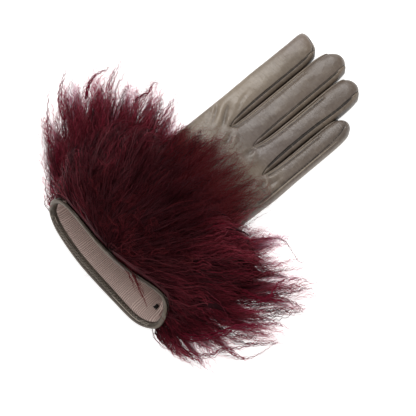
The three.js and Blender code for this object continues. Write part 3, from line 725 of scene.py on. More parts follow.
leather_piece("rim_binding", "rolled_rim", nappa("taupe_nappa_rim", 0.86), roll_seam)
facing = leather_piece("cuff_facing", "facing_band", nappa("taupe_nappa_band", 0.42))
band = points_of(facing)
depth = band[:, 1] - ring_level(band, 0)
BAND_WIDTH = 0.52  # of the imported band; the lining covers the rest
BAND_TUCK, BAND_RISE = 3.3, 0.7  # millimetres that it goes forward and up, over the roll's inner half
band[:, 1] += depth * (BAND_WIDTH - 1) - BAND_TUCK
band[:, 2] += BAND_RISE * np.clip((MOUTH_Z - band[:, 2]) / 8, -1, 1)
move_to(facing, band)
print("the band shows", round(float(depth.max()) * BAND_WIDTH - BAND_TUCK, 1), "mm of its depth")

# %% [markdown]
# The lining is a fine ribbed knit. Its ribs run into the glove and keep their number as the sleeve
# narrows, so each point keeps how far round the sleeve it lies, in millimetres at the mouth, and the
# finish draws a rib from that. The count starts on the back, which nobody sees from above.

# %% Knitted lining
RIB, STITCH = 1.4, 0.0009  # from rib to rib in millimetres, and from stitch to stitch in metres


def knitted(name):
    """Light greige knit, ribbed along the sleeve."""
    finish = Finish(name)
    around = finish.value_of("around")
    ripple = finish.cloud(0.004, 2)
    rib = (around * (2 * math.pi / RIB) + ripple * 1.6).sine() * 0.5 + 0.5
    stitch = (finish.along("Y") * (2 * math.pi / STITCH) + ripple * 3).sine() * 0.5 + 0.5
    # painted shade: each rib is darker in its hollow, where the relief below sinks
    colour = finish.blend(rib, shade(180, 152, 146), shade(246, 224, 216))
    colour = finish.blend(finish.cloud(0.011, 2) * 0.5, colour, shade(178, 156, 150))
    ribs = finish.relief(rib ** 0.7, 0.0004, 0.8)
    finish.surface(Base_Color=colour, Roughness=0.85, Normal=finish.relief(stitch, 0.00012, 0.4, ribs))
    finish.surface(Specular_IOR_Level=0.2)
    return finish


def front_ring(points):
    """The numbers of the points on a sleeve's front, in order round the mouth."""
    front = np.flatnonzero(points[:, 1] - ring_level(points, 0) < 3)
    return front[np.argsort(around_mouth(points)[front])]


def around_sleeve(points):
    """Millimetres round a sleeve at its front, counted from the middle of its back."""
    turned, ring = around_mouth(points), front_ring(points)
    marks = np.arange(0, SECTORS + 1)
    x, z = (np.interp(marks, turned[ring], points[ring, k]) for k in (0, 2))
    run = np.concatenate([[0], np.cumsum(np.hypot(np.diff(x), np.diff(z)))])
    return np.interp(turned, marks, run)


lining = smooth_copy("lining", "knit_lining")
lining_points = points_of(lining)
around = around_sleeve(lining_points)
keep_value(lining, "around", around)
LINING_FORWARD = 7.4  # millimetres that its front is drawn out, to the band's inner edge
WAVE, WAVE_HEIGHT = 6.3, 0.5  # millimetres; soft waves along the sleeve's floor
folded = lining_points.copy()
behind_front = lining_points[:, 1] - ring_level(lining_points, 0)
folded[:, 1] -= LINING_FORWARD * (1 - fade(behind_front, 0, 24))
inside = fade(lining_points[:, 1], 8, 16) * (1 - fade(lining_points[:, 1], 70, 85))
waves = WAVE_HEIGHT * np.sin(around * 2 * math.pi / WAVE)
folded[:, 2] += waves * inside * (1 - above_side(lining_points))
move_to(lining, folded)
knit = knitted("greige_knit")
finish_piece(lining, knit, "knit", "lining")

# %% [markdown]
# At the mouth's right end the knit is gathered into two low ridges that follow its edge. Each is a
# thin roll along the sleeve's front ring, drawn in a little towards the mouth's middle.

# %% Ridges of the lining
RIDGE = 0.34  # millimetres, the radius
RIDGE_SPAN, RIDGE_STEPS = (62, 84), 30  # in sectors round the mouth
MOUTH_MIDDLE = (MOUTH_X, 0, MOUTH_Z)
ring = front_ring(lining_points)
marks = np.linspace(*RIDGE_SPAN, RIDGE_STEPS)
turned = around_mouth(lining_points)[ring]
for number, shrink in enumerate((0.955, 0.92)):
    line = np.column_stack([np.interp(marks, turned, folded[ring, k]) for k in range(3)])
    line = (line - MOUTH_MIDDLE) * (shrink, 1, shrink) + MOUTH_MIDDLE + (0, number - 0.4, 0)
    welt(f"lining_ridge_{number + 1}", evened(line, 6), RIDGE, knit, "knit")

# %% [markdown]
# The fur is long curly lamb. Its hair grows from a pelt band round the cuff and fans out from it.
# What lies deep in it reads as one dark mass, so that mass comes first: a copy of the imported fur,
# drawn in towards the pelt, with streaks that run the way the hair runs. Every hair that is added
# later lies on it.

# %% The pelt under the hair
FAN_BACK = 15  # the fan's lines spread from a short line across the cuff at this y
FAN_SPREAD, FAN_LEFT, FAN_RIGHT = 0.45, -45, 50
STREAK_WAVE = 8  # millimetres


def fan_foot(x):
    """Where on that line the fan's line through x starts."""
    return np.clip(FAN_SPREAD * x, FAN_LEFT, FAN_RIGHT)


def heading(x, y):
    """The direction that hair takes at a place, as an angle from +X."""
    return np.arctan2(y - FAN_BACK, x - fan_foot(x))


def streaked_fur(name):
    """Burgundy wool in long wavy streaks."""
    finish = Finish(name)
    across, along = finish.value_of("across"), finish.value_of("along")
    wave = (along * (2 * math.pi / STREAK_WAVE) + across * 0.4).sine() * 0.7
    grid = finish.add("ShaderNodeCombineXYZ", inputs={0: (across + wave) * 0.55, 1: along * 0.045})
    streak = finish.cloud(1, 3, grid, 0.7)
    # the wool's own burgundy with painted shade of the deep fur, darkest in the low parts of the streaks
    stops = [(0.3, shade(24, 5, 9)), (0.55, shade(44, 12, 18)), (0.8, shade(66, 20, 28))]
    colour = finish.add("ShaderNodeValToRGB", {"stops": stops}, {0: streak})
    finish.surface(Base_Color=colour, Roughness=0.6, Normal=finish.relief(streak, 0.002))
    finish.surface(Specular_IOR_Level=0.05)
    return finish


pelt = smooth_copy("fur_cuff", "fur_pelt", 1)
fur_points = points_of(pelt)
WRIST_Y = [0, 25, 50, 75]
wrist_half = np.interp(fur_points[:, 1], WRIST_Y, [64, 60, 51, 46])
wrist_top = np.interp(fur_points[:, 1], WRIST_Y, [34, 32.5, 29.5, 26])
wrist = np.column_stack([
    np.clip(fur_points[:, 0], -wrist_half, wrist_half),
    np.clip(fur_points[:, 1], 12, 80),
    np.clip(fur_points[:, 2], 3, wrist_top),
])
DRAWN_IN = (0.5, 0.5, 0.55)  # of the way from the wrist that the pelt keeps
pelt_points = wrist + (fur_points - wrist) * DRAWN_IN
half, top = wrist_half + 2, wrist_top + 1.5 - MOUTH_Z
inwards = np.hypot(pelt_points[:, 0] / half, (pelt_points[:, 2] - MOUTH_Z) / top)
outwards = np.maximum(1, 1 / np.maximum(inwards, 0.3))  # clear of the sleeve that it goes round
pelt_points[:, 0] *= outwards
pelt_points[:, 2] = (pelt_points[:, 2] - MOUTH_Z) * outwards + MOUTH_Z
pelt_points[:, 2] = np.maximum(pelt_points[:, 2], 0.3)
from_foot = pelt_points[:, 0] - fan_foot(pelt_points[:, 0])
from_back = pelt_points[:, 1] - FAN_BACK
keep_value(pelt, "across", np.arctan2(from_foot, from_back) * 60)
keep_value(pelt, "along", np.hypot(from_foot, from_back))
move_to(pelt, pelt_points)
finish_piece(pelt, streaked_fur("burgundy_pelt"), "fur", "fur_cuff")

# %% [markdown]
# Hair lies on what is under it: the pelt's mass, the leather of the hand, or the table. Looking
# straight down at the glove over a fine grid gives that ground's height everywhere.

# %% The ground under the hair
GRID = 2.0  # millimetres from ray to ray
GRID_X, GRID_Y = np.arange(-170, 171, GRID), np.arange(-40, 181, GRID)


def heights(*pieces):
    """The top of these pieces over the grid, in pattern millimetres, and 0 where they aren't."""
    found = np.zeros((len(GRID_X), len(GRID_Y)))
    for piece in pieces:
        tree = BVHTree.FromObject(piece, bpy.context.evaluated_depsgraph_get())
        for i, x in enumerate(GRID_X):
            for j, y in enumerate(GRID_Y):
                hit = plumb(tree, x, y, 120)
                if hit is not None:
                    found[i, j] = max(found[i, j], hit[2])
    return found


def softened(field, rounds):
    """The field with its steps evened out."""
    for _ in range(rounds):
        field = (np.roll(field, 1, 0) + 2 * field + np.roll(field, -1, 0)) / 4
        field = (np.roll(field, 1, 1) + 2 * field + np.roll(field, -1, 1)) / 4
    return field


def read_field(field, x, y):
    """The field's value at places between its points."""
    u = np.clip((x - GRID_X[0]) / GRID, 0, len(GRID_X) - 1.001)
    v = np.clip((y - GRID_Y[0]) / GRID, 0, len(GRID_Y) - 1.001)
    i, j = u.astype(int), v.astype(int)
    u, v = u - i, v - j
    near = field[i, j] * (1 - u) + field[i + 1, j] * u
    return near * (1 - v) + (field[i, j + 1] * (1 - u) + field[i + 1, j + 1] * u) * v


leather_ground = heights(hand)
pelt_ground = np.maximum(softened(np.maximum(heights(pelt), leather_ground), 3), leather_ground)
print("the pelt's mass is", round(pelt_ground.max(), 1), "mm high")

# %% [markdown]
# One hair is a thin closed tube, wide at its root and fine at its tip. Three sides are enough, because
# at this size they look round, and thousands of hairs are to come. The corners also need places on a
# square, because each hair gets a square of its own in the UV map.

# %% One hair's tube
CORNERS = np.radians([90, 210, 330])[None, :, None]


def unit(rows):
    """Each row as a direction of length 1."""
    return rows / (np.linalg.norm(rows, axis=1)[:, None] + 1e-9)


def tube_points(line, radius):
    """A hair's points: its root, a ring of three at every place between, and its tip."""
    run = unit(np.gradient(line, axis=0))
    side = unit(np.cross(run, (0, 0, 1)))
    out = np.cross(side, run)
    ways = np.cos(CORNERS) * side[1:-1, None] + np.sin(CORNERS) * out[1:-1, None]
    rings = line[1:-1, None] + radius[1:-1, None, None] * ways
    return [line[:1], rings.reshape(-1, 3), line[-1:]]


def tube_faces(rings):
    """A tube's four-sided faces and the triangles that close its ends, by its points' numbers."""
    k = np.arange(3)
    low = 1 + 3 * np.arange(rings - 1)[:, None]
    sides = np.stack([low + k, low + 3 + k, low + 3 + (k + 1) % 3, low + (k + 1) % 3], axis=2)
    last, tip = 1 + 3 * (rings - 1), 1 + 3 * rings
    root_end = [[0, 1 + i, 1 + (i + 1) % 3] for i in k]
    tip_end = [[tip, last + (i + 1) % 3, last + i] for i in k]
    return sides.reshape(-1, 4), np.array(root_end + tip_end)


def tube_uvs(rings):
    """Where the corners of those faces lie on a square."""
    i, j = np.tile(np.arange(3), rings - 1), np.repeat(np.arange(rings - 1), 3)
    sides = np.array([(i, j + 1), (i, j + 2), (i + 1, j + 2), (i + 1, j + 1)])
    root_end = [[(i + 0.5, 0), (i, 1), (i + 1, 1)] for i in range(3)]
    tip_end = [[(i + 0.5, rings + 1), (i + 1, rings), (i, rings)] for i in range(3)]
    ends = np.array(root_end + tip_end).reshape(-1, 2)
    return np.concatenate([sides.transpose(2, 0, 1).reshape(-1, 2), ends]) / (3, rings + 1)


print("a hair with ten rings has", 2 * len(tube_faces(10)[0]) + len(tube_faces(10)[1]), "triangles")

# %% [markdown]
# Thousands of hairs are too many for tools that work by hand, and too slow to add one by one. So all
# the hairs of a piece become one mesh: their points, faces and UV places are joined into long arrays,
# which Blender takes in one go.

# %% Many hairs in one mesh
UV_MARGIN = 0.08  # of a hair's square in the UV map


def tubes(name, hairs, finish, slot="fur"):
    """A mesh piece of hairs: (points, radii, tone) each, all in pattern millimetres."""
    places, faces, starts, uvs, tones, alongs = [], [], [], [], [], []
    columns = math.ceil(math.sqrt(len(hairs) * 2))
    rows = math.ceil(len(hairs) / columns)
    first = loops = 0
    for number, (line, radius, tone) in enumerate(hairs):
        rings = len(line) - 2
        sides, ends = tube_faces(rings)
        places += tube_points(line, radius)
        faces += [(first + sides).ravel(), (first + ends).ravel()]
        starts += [loops + 4 * np.arange(len(sides)), loops + sides.size + 3 * np.arange(len(ends))]
        square = np.array([number % columns, number // columns]) + UV_MARGIN
        uvs.append((square + (1 - 2 * UV_MARGIN) * tube_uvs(rings)) / (columns, rows))
        share = np.linspace(0, 1, len(line))
        alongs += [share[:1], np.repeat(share[1:-1], 3), share[-1:]]
        tones.append(np.full(3 * rings + 2, tone))
        first, loops = first + 3 * rings + 2, loops + sides.size + ends.size
    mesh = bpy.data.meshes.new(name)
    corner_points = np.concatenate(faces)
    face_starts = np.concatenate(starts)
    mesh.vertices.add(first)
    mesh.loops.add(len(corner_points))
    mesh.polygons.add(len(face_starts))
    mesh.vertices.foreach_set("co", in_frame(np.concatenate(places)).ravel())
    mesh.loops.foreach_set("vertex_index", corner_points)
    mesh.polygons.foreach_set("loop_start", face_starts)
    mesh.update(calc_edges=True)
    mesh.uv_layers.new(name="OFBake").data.foreach_set("uv", np.concatenate(uvs).ravel())
    piece = bpy.data.objects.new(name, mesh)
    bpy.context.scene.collection.objects.link(piece)
    keep_value(piece, "tone", np.concatenate(tones))
    keep_value(piece, "along", np.concatenate(alongs))
    only(piece)
    bpy.ops.object.shade_smooth()
    mesh.calc_loop_triangles()
    print(name, len(hairs), "hairs,", len(mesh.loop_triangles), "triangles")
    finish_piece(piece, finish, slot)


print("each hair keeps", 1 - 2 * UV_MARGIN, "of its square's side")

# %% [markdown]
# The hair is burgundy all through, but depth and light change it. Deep in the fur it is nearly black,
# on top it is wine red, over the hand it is browner, and at the fan's edge light comes through it.
# So there is a finish for each kind, and every hair has a tone of its own along it.

# %% Hair finishes
HAIR = {  # how much it shines, and its colours from root to tip, as on a screen
    "wool": (0.1, (42, 10, 17), (72, 24, 31), (96, 38, 46), (120, 54, 64)),
    "locks": (0.06, (38, 9, 15), (72, 22, 31), (116, 38, 50), (182, 86, 100)),
    "locks_on_hand": (0.06, (36, 9, 14), (66, 19, 26), (98, 34, 40), (126, 58, 60)),
    "wisps": (0, (106, 22, 38), (146, 38, 58), (184, 70, 94), (214, 118, 140)),
    "veil": (0, (72, 24, 30), (98, 37, 42), (120, 54, 56), (138, 76, 74)),
    "strays": (0, (92, 20, 34), (118, 36, 54), (150, 62, 84), (182, 104, 128)),
}


def lamb_hair(name, gloss, *colours):
    """Hair that is darkest at its root."""
    finish = Finish(name)
    level = finish.value_of("tone") * 0.55 + finish.value_of("along") * 0.45
    stops = [(place, shade(*rgb)) for place, rgb in zip((0.0, 0.35, 0.65, 1.0), colours)]
    colour = finish.add("ShaderNodeValToRGB", {"stops": stops}, {0: level})
    finish.surface(Base_Color=colour, Roughness=0.5)
    finish.surface(Specular_IOR_Level=gloss)
    return finish


dyed = {kind: lamb_hair(f"burgundy_{kind}", *look) for kind, look in HAIR.items()}
print("hair finishes:", [finish.material.name for finish in dyed.values()])

# %% [markdown]
# Lamb's hair hangs together in locks, and the locks fan out round the cuff. How far the fan reaches
# in each direction is known from the real one, so locks end at shares of that reach. Chance picks the
# places, and it picks the same ones every time, because its seed is given.

# %% The fan of fur
REACH = (  # degrees from +Y round the middle of the cuff, and how far the fur reaches there
    [-104, -100, -94, -88, -82, -76, -70, -64, -58, -46, -40, -34, -28, -22, -10,
     2, 14, 26, 32, 44, 50, 56, 62, 68, 74, 86, 92, 98, 104, 110],
    [44, 58, 70, 82, 94, 114, 134, 150, 152, 156, 140, 145, 134, 122, 108,
     101, 103, 106, 122, 138, 148, 144, 128, 128, 112, 110, 104, 94, 72, 44],
)
FAN_ENDS = (-104, 110)  # degrees
NOTCH = 0.14  # of the reach
FAN_MIDDLE = (0, 20)
BACK_EDGE = ([-64, -52, -31, -14, 5, 24, 42, 53, 64], [16.5, 18, 16.3, 14.6, 14.4, 17, 22, 23.5, 18])
MOUTH_HALF = 58.5  # hair keeps behind the mouth between these x, and may pass under its ends
chance = np.random.default_rng(11)


def on_fan(turned, far):
    """The x and y of places so far from the fan's middle, in these directions."""
    return FAN_MIDDLE[0] + far * np.sin(turned), FAN_MIDDLE[1] + far * np.cos(turned)


def in_mouth(x, y):
    """Where a place on the plan is in the mouth, or on its rolled edge."""
    return (y < np.interp(x, *BACK_EDGE) + 1) & (np.abs(x) < MOUTH_HALF)


def reach_at(angles):
    """How far the fur reaches in these directions, with notches between one lock and the next."""
    notches = np.array([noise.noise(Vector((a / 3.1, 4.7, 0.5))) for a in angles])
    depth = NOTCH * (0.5 + 0.6 * fade(angles, 35, 55))
    return np.interp(angles, *REACH) * (1 + depth * np.clip(notches * 1.8, -1, 0.6))


def fan_tips(count, shares, zone=FAN_ENDS):
    """Places for locks to end, at these shares of the fan's reach."""
    degrees = np.arange(*zone)
    odds = np.interp(degrees, *REACH)
    angle = chance.choice(degrees, count, p=odds / odds.sum()) + chance.uniform(-0.5, 0.5, count)
    out = chance.uniform(*shares, count) * reach_at(angle)
    return np.column_stack(on_fan(np.radians(angle), out))


def rim_tips(count, depths):
    """Places for short locks to end, so far behind the rim."""
    x = chance.uniform(-MOUTH_HALF, MOUTH_HALF, count)
    return np.column_stack([x, np.interp(x, *BACK_EDGE) + chance.uniform(*depths, count)])


print("the fan reaches", min(REACH[1]), "to", max(REACH[1]), "mm from its middle")

# %% [markdown]
# A lock is a line that follows the fan, sways a little and often ends in a hook. It is drawn from its
# tip back to the cuff, so that it ends where it should, and its part in the mouth is cut off. A few
# locks are laid one by one instead, as smooth lines through chosen places.

# %% Lines of locks
LINE_STEPS = 70  # places along a lock's line
SHORTEST = 8  # millimetres; a lock that has less than that left is left out
BARE_FRONT = 7  # past the mouth's right end, no hair is rooted in front of this y
HOOK = (1.0, 2.6)  # radians that a hooked end turns by
HOOK_SPAN = (0.86, 1.02)  # the shares of a lock's length between which it turns
ROOT_SUNK = 1.5  # millimetres that a root lies under the top of the pelt's mass


def spread_even(rows, start, stop):
    """Each line between two of its own places, in as many steps of equal length as before."""
    count, steps, _ = rows.shape
    at = start[:, None] + (stop - start)[:, None] * np.linspace(0, 1, steps)
    low = np.minimum(at.astype(int), steps - 2)
    line = np.arange(count)[:, None]
    f = (at - low)[..., None]
    return rows[line, low] * (1 - f) + rows[line, low + 1] * f


def rounded_line(places):
    """A smooth line through places, at even steps, and its length."""
    p = np.array(places, float)
    p = np.vstack([2 * p[0] - p[1], p, 2 * p[-1] - p[-2]])
    t = np.linspace(0, 1, 12, endpoint=False)[:, None]
    runs = []
    for a, b, c, d in zip(p, p[1:], p[2:], p[3:]):
        bend, twist = 2 * a - 5 * b + 4 * c - d, 3 * b - a - 3 * c + d
        runs.append(0.5 * (2 * b + (c - a) * t + bend * t ** 2 + twist * t ** 3))
    line = np.vstack([*runs, p[-2:-1]])
    far = np.concatenate([[0], np.cumsum(np.linalg.norm(np.diff(line, axis=0), axis=1))])
    at = np.linspace(0, far[-1], LINE_STEPS)
    return np.column_stack([np.interp(at, far, line[:, k]) for k in range(3)]), far[-1]


def lock_lines(tips, lengths, sway=0.16, hooks=0.35):
    """Lines of locks on the plan, drawn back from their tips to the cuff, and the length of each."""
    count, steps = len(tips), LINE_STEPS
    pace = chance.uniform(*lengths, count) / (steps - 1)
    swing, phase = chance.uniform(0.4, 1.6, count), chance.uniform(0, 2 * math.pi, count)
    bend = chance.normal(0, sway, count)
    rows = np.empty((count, steps, 2))
    x, y = tips.T
    for j in reversed(range(steps)):
        rows[:, j] = np.column_stack([x, y])
        t = j / (steps - 1)
        way = heading(x, y) - (bend + 1.4 * sway * np.sin(2 * math.pi * swing * t + phase)) * t
        x, y = x - np.cos(way) * pace, y - np.sin(way) * pace
    inside = in_mouth(rows[..., 0], rows[..., 1])
    start = np.where(inside.any(1), steps - np.argmax(inside[:, ::-1], axis=1), 0)
    root = rows[np.arange(count), np.minimum(start, steps - 1)]
    bare = (root[:, 0] > MOUTH_HALF) & (root[:, 1] < BARE_FRONT)
    good = ((steps - 1 - start) * pace > SHORTEST) & ~bare
    kept = good.sum()
    rows = spread_even(rows[good], start[good], np.full(kept, steps - 1.0))
    step = np.diff(rows, axis=1)
    pace = np.hypot(step[..., 0], step[..., 1])
    hook = chance.choice([-1, 1], (kept, 1)) * (chance.random((kept, 1)) < hooks)
    hook = hook * chance.uniform(*HOOK, (kept, 1))
    turned = hook * fade(np.linspace(0, 1, steps - 1), *HOOK_SPAN)
    way = np.arctan2(step[..., 1], step[..., 0]) + turned
    step = np.stack([np.cos(way) * pace, np.sin(way) * pace], axis=2)
    rows[:, 1:] = rows[:, :1] + np.cumsum(step, axis=1)
    return rows, pace.sum(1)


def lifted(rows, body, end):
    """Lays lines on the ground: body millimetres clear of it at their middle and end at their tip."""
    t = np.linspace(0, 1, rows.shape[1])
    over = read_field(pelt_ground, rows[..., 0], rows[..., 1])
    for _ in range(6):
        over[:, 1:-1] = (over[:, :-2] + over[:, 1:-1] + over[:, 2:]) / 3
    arch = np.sin(math.pi * np.minimum(1, 0.1 + t)) ** 0.7
    clear = body[:, None] * arch + end[:, None] * t - ROOT_SUNK * (1 - t) ** 4
    return np.dstack([rows, over + clear])


print("a lock's line has", LINE_STEPS, "places")

# %% [markdown]
# The hairs of a lock start side by side, crimp together, and draw together to a point. The crimp is
# flatter than it is wide, and it swings wider towards the tip. No hair dips into the leather, and
# only locks that are laid one by one may cross the mouth.

# %% Hairs of a lock
FEWEST_RINGS = 7  # places along a hair
FLATNESS = 0.55  # a wave's height, as a share of its width
CLEAR, MOUTH_CLEAR = 0.5, 0.4  # millimetres from the leather, and from the mouth's back edge


def crimped(line, length, offset, wave, swing, phase, width, stop, pace, gather, taper, mouth):
    """One hair of a lock, with its crimp, and its radius along the way."""
    rings = max(FEWEST_RINGS, round(length * stop / pace))
    share = np.linspace(0, stop, rings) ** 0.92
    at = share * (len(line) - 1)
    low = np.minimum(at.astype(int), len(line) - 2)
    f = (at - low)[:, None]
    points = line[low] * (1 - f) + line[low + 1] * f
    run = unit(np.gradient(points, axis=0))
    side = unit(np.column_stack([-run[:, 1], run[:, 0], np.zeros(rings)]))
    out = np.cross(run, side)
    drawn = 1 - gather * fade(share, 0.25, 1.0)
    turn_by = 2 * math.pi * share * length / wave + phase
    strength = swing * (0.2 + 0.8 * share ** 0.9)
    across = offset[0] * drawn + strength * np.sin(turn_by)
    up = offset[1] * drawn + FLATNESS * strength * np.cos(turn_by)
    points = points + side * across[:, None] + out * up[:, None]
    radius = width * (1 - taper * fade(share / stop, 0.35, 1.0))
    edge = np.interp(points[:, 0], *BACK_EDGE) + MOUTH_CLEAR
    points[:, 1] = np.where(np.abs(points[:, 0]) < mouth, np.maximum(points[:, 1], edge), points[:, 1])
    lowest = read_field(leather_ground, points[:, 0], points[:, 1]) + CLEAR + radius
    points[:, 2] = np.maximum(points[:, 2], lowest)
    return points, radius


print("a wave is", FLATNESS, "times as high as it is wide")

# %% [markdown]
# Every lock has a crimp and a tone of its own, and each of its hairs strays a little from them, as no
# two hairs are alike. The hairs are then sorted by the way they point and made into a few pieces, so
# that none has too many faces.

# %% Laying the locks
OVER_LEATHER = 0.3  # hair with dark leather under it looks so much darker than hair with white paper
CRIMP, CRIMP_VARIES = 7.2, 0.9  # millimetres from wave to wave


def grown(rows, lengths, hairs, spread, swing, width,
          loose=0.5, gather=0.7, pace=2.1, tones=(0.15, 0.85), taper=0.6, mouth=MOUTH_HALF):
    """The hairs of every lock: the way the lock points, and each hair's points, radii and tone."""
    made = []
    for line, length in zip(rows, lengths):
        wave, phase = chance.normal(CRIMP, CRIMP_VARIES), chance.uniform(0, 2 * math.pi)
        lock_tone, lock_swing = chance.uniform(*tones), swing * chance.uniform(0.5, 1.4)
        middle = line[len(line) // 2]
        way = math.atan2(middle[0], middle[1])
        lock_tone -= OVER_LEATHER * (read_field(leather_ground, line[-1, 0], line[-1, 1]) > 2)
        for _ in range(chance.integers(*hairs)):
            points, radii = crimped(
                line, length,
                offset=chance.normal(0, spread / 2, 2) * (1, 0.7),
                wave=wave * chance.uniform(0.9, 1.1),
                swing=lock_swing,
                phase=phase + chance.normal(0, loose),
                width=width * chance.uniform(0.7, 1.3),
                stop=chance.uniform(0.8, 1.0),
                pace=pace, gather=gather, taper=taper, mouth=mouth,
            )
            made.append((way, points, radii, np.clip(lock_tone + chance.normal(0, 0.13), 0, 1)))
    return made


def lay(tips, lengths, body, end, hairs, spread, swing, width, look=None, **more):
    """Locks on the glove: where they end, how long they are, how high they lie, and their hairs."""
    rows, length = lock_lines(tips, lengths, **more)
    lines = lifted(rows, chance.uniform(*body, len(rows)), chance.uniform(*end, len(rows)))
    return grown(lines, length, hairs, spread, swing, width, **(look or {}))


def plant(name, hairs, count, finish):
    """Makes pieces of the hairs, from one side of the fan to the other."""
    hairs.sort(key=lambda hair: hair[0])
    for number in range(count):
        part = hairs[len(hairs) * number // count:len(hairs) * (number + 1) // count]
        tubes(f"{name}_{number + 1}", [hair[1:] for hair in part], finish)


def over_hand(hair):
    """Whether a hair's tip lies over the hand's leather."""
    return read_field(leather_ground, *hair[1][-1, :2]) > 3


print("the crimp's waves are about", CRIMP, "mm long")

# %% [markdown]
# The fur is laid from the bottom up. Thick dark tufts and loose wool fill it, locks that only half
# hold together lie over them, and curled ends and short curls come on top. Two bundles hang past the
# mouth's right end. The numbers after the tips are the locks' length, how far they are clear of the
# ground at their middle and at their tip, and how many hairs each has, and then the hairs' spread,
# swing and thickness, all in millimetres.

# %% The fur
UNDER = {"loose": 1.5, "gather": 0.5, "pace": 4.2, "tones": (0.0, 0.5), "taper": 0.85}  # thick dark tufts
SOFT = {"loose": 2.5, "gather": 0.25, "pace": 3.0, "tones": (0.1, 0.9)}  # deep wool, in no order
DRAWN = {"loose": 0.9, "gather": 0.55, "pace": 2.8}  # locks that only half hold together
CURLED = {"loose": 0.35, "gather": 0.85, "pace": 2.0, "tones": (0.2, 0.95)}  # the ends of locks that do
CURLS = {"loose": 0.8, "gather": 0.5, "pace": 1.9, "tones": (0.3, 0.9)}  # short ones that lie on top
HANGING = {"tones": (0.5, 1), "mouth": 0}
BUNDLES = (
    [(56, 12, 3), (61, 7.5, 3), (68, 4.5, 3), (76, 4.5, 3), (90, 6, 3)],
    [(57, 16, 5), (64, 10, 4), (72, 8, 4), (83, 8, 4), (98, 11, 4)],
)
BUNDLE_SHARES = (0.6, 0.7, 0.8, 0.9, 1)  # how far along a bundle's line each of its locks goes
wool = lay(fan_tips(290, (0.5, 0.9)), (46, 76), (0.3, 2), (0.2, 1), (4, 7), 7, 0.5, 0.5, UNDER, sway=0.2)
wool += lay(rim_tips(170, (8, 28)), (36, 44), (1, 3), (0.5, 3), (7, 10), 5, 0.5, 0.3, SOFT)
wool += lay(fan_tips(170, (0.25, 0.8)), (36, 60), (1, 6), (0.3, 3), (6, 9), 6.5, 0.6, 0.3, SOFT,
            sway=0.26)
plant("fur_wool", wool, 2, dyed["wool"])
locks = lay(fan_tips(280, (0.6, 0.96)), (34, 56), (1, 7), (0.3, 4), (6, 9), 6, 0.8, 0.24, DRAWN,
            sway=0.24)
locks += lay(fan_tips(390, (0.84, 1.06)), (34, 58), (0.5, 6), (0.3, 4), (4, 7), 4.4, 1.4, 0.2, CURLED,
             sway=0.24)
curls = lay(fan_tips(300, (0.16, 0.92)), (16, 30), (3, 7), (1.5, 5), (3, 5), 2.4, 1.0, 0.2, CURLS,
            sway=0.6, hooks=0.9)
curls += lay(rim_tips(130, (6, 44)), (16, 26), (4, 8), (2, 6), (3, 5), 2.4, 1.1, 0.2, CURLS,
             sway=1.3, hooks=1)
for places in BUNDLES:
    line, length = rounded_line(places)
    lengths = [length * share for share in BUNDLE_SHARES]
    locks += grown([line] * len(lengths), lengths, (6, 8), 3.0, 0.8, 0.2, **HANGING)
locks += curls
plant("fur_locks", [hair for hair in locks if not over_hand(hair)], 3, dyed["locks"])
plant("fur_locks_on_hand", [hair for hair in locks if over_hand(hair)], 1, dyed["locks_on_hand"])

# %% [markdown]
# Between the ends of the locks lies underwool, too fine to model hair by hair. A thin mat stands for
# it: its streaks are opaque near the mass and thin out to nothing at the fan's edge, where white
# light comes through them and turns them pink.


# %% The underwool's finish
def underwool_finish(name):
    """Streaks of burgundy that fade out along the hair."""
    finish = Finish(name)
    across, share = finish.value_of("across"), finish.value_of("share")
    leather_under = finish.value_of("on_leather")
    wave = (share * 95 + across * 0.5).sine() * 0.8
    fine = finish.add("ShaderNodeCombineXYZ", inputs={0: (across + wave) * 0.9, 1: share * 5})
    coarse = finish.add("ShaderNodeCombineXYZ", inputs={0: across * 0.11, 1: share * 1.6})
    streak, tuft = finish.cloud(1, 3, fine, 0.75), finish.cloud(1, 2, coarse)
    thin = (share + (tuft - 0.5) * 0.5).between(0.62, 1.06)
    cover = (1 - thin) * 1.1 + (streak - 0.5) * 1.6 + 0.02
    edge = 1 - share.between(0.96, 1.15)
    alpha = cover.between(-0.05, 1.0) * edge * (1 - leather_under * 0.35)
    over_white = finish.blend(thin, shade(66, 16, 26), shade(208, 138, 164))
    over_leather = finish.blend(thin, shade(58, 18, 24), shade(88, 46, 44))
    finish.surface(Base_Color=finish.blend(leather_under, over_white, over_leather), Roughness=0.8)
    finish.surface(Alpha=alpha, Specular_IOR_Level=0.0)
    return finish


wool_finish = underwool_finish("burgundy_underwool")
print("underwool:", wool_finish.material.name)

# %% [markdown]
# The mat is a grid over the fan, from the mass outwards to a little past the fan's edge. It lies just
# above the table and the hand. A second layer under it and a border round both close it.

# %% The underwool
MAT_FROM, MAT_TO, MAT_STEPS = 0.42, 1.16, 26  # shares of the fan's reach, and steps between them
MAT_ANGLES = np.arange(-90, 94.1, 1.0)  # degrees
MAT_THICKNESS, MAT_CLEAR = 0.3, 0.6  # millimetres, the second from the ground
MAT_ENDS = (-142, 132)  # its furthest x


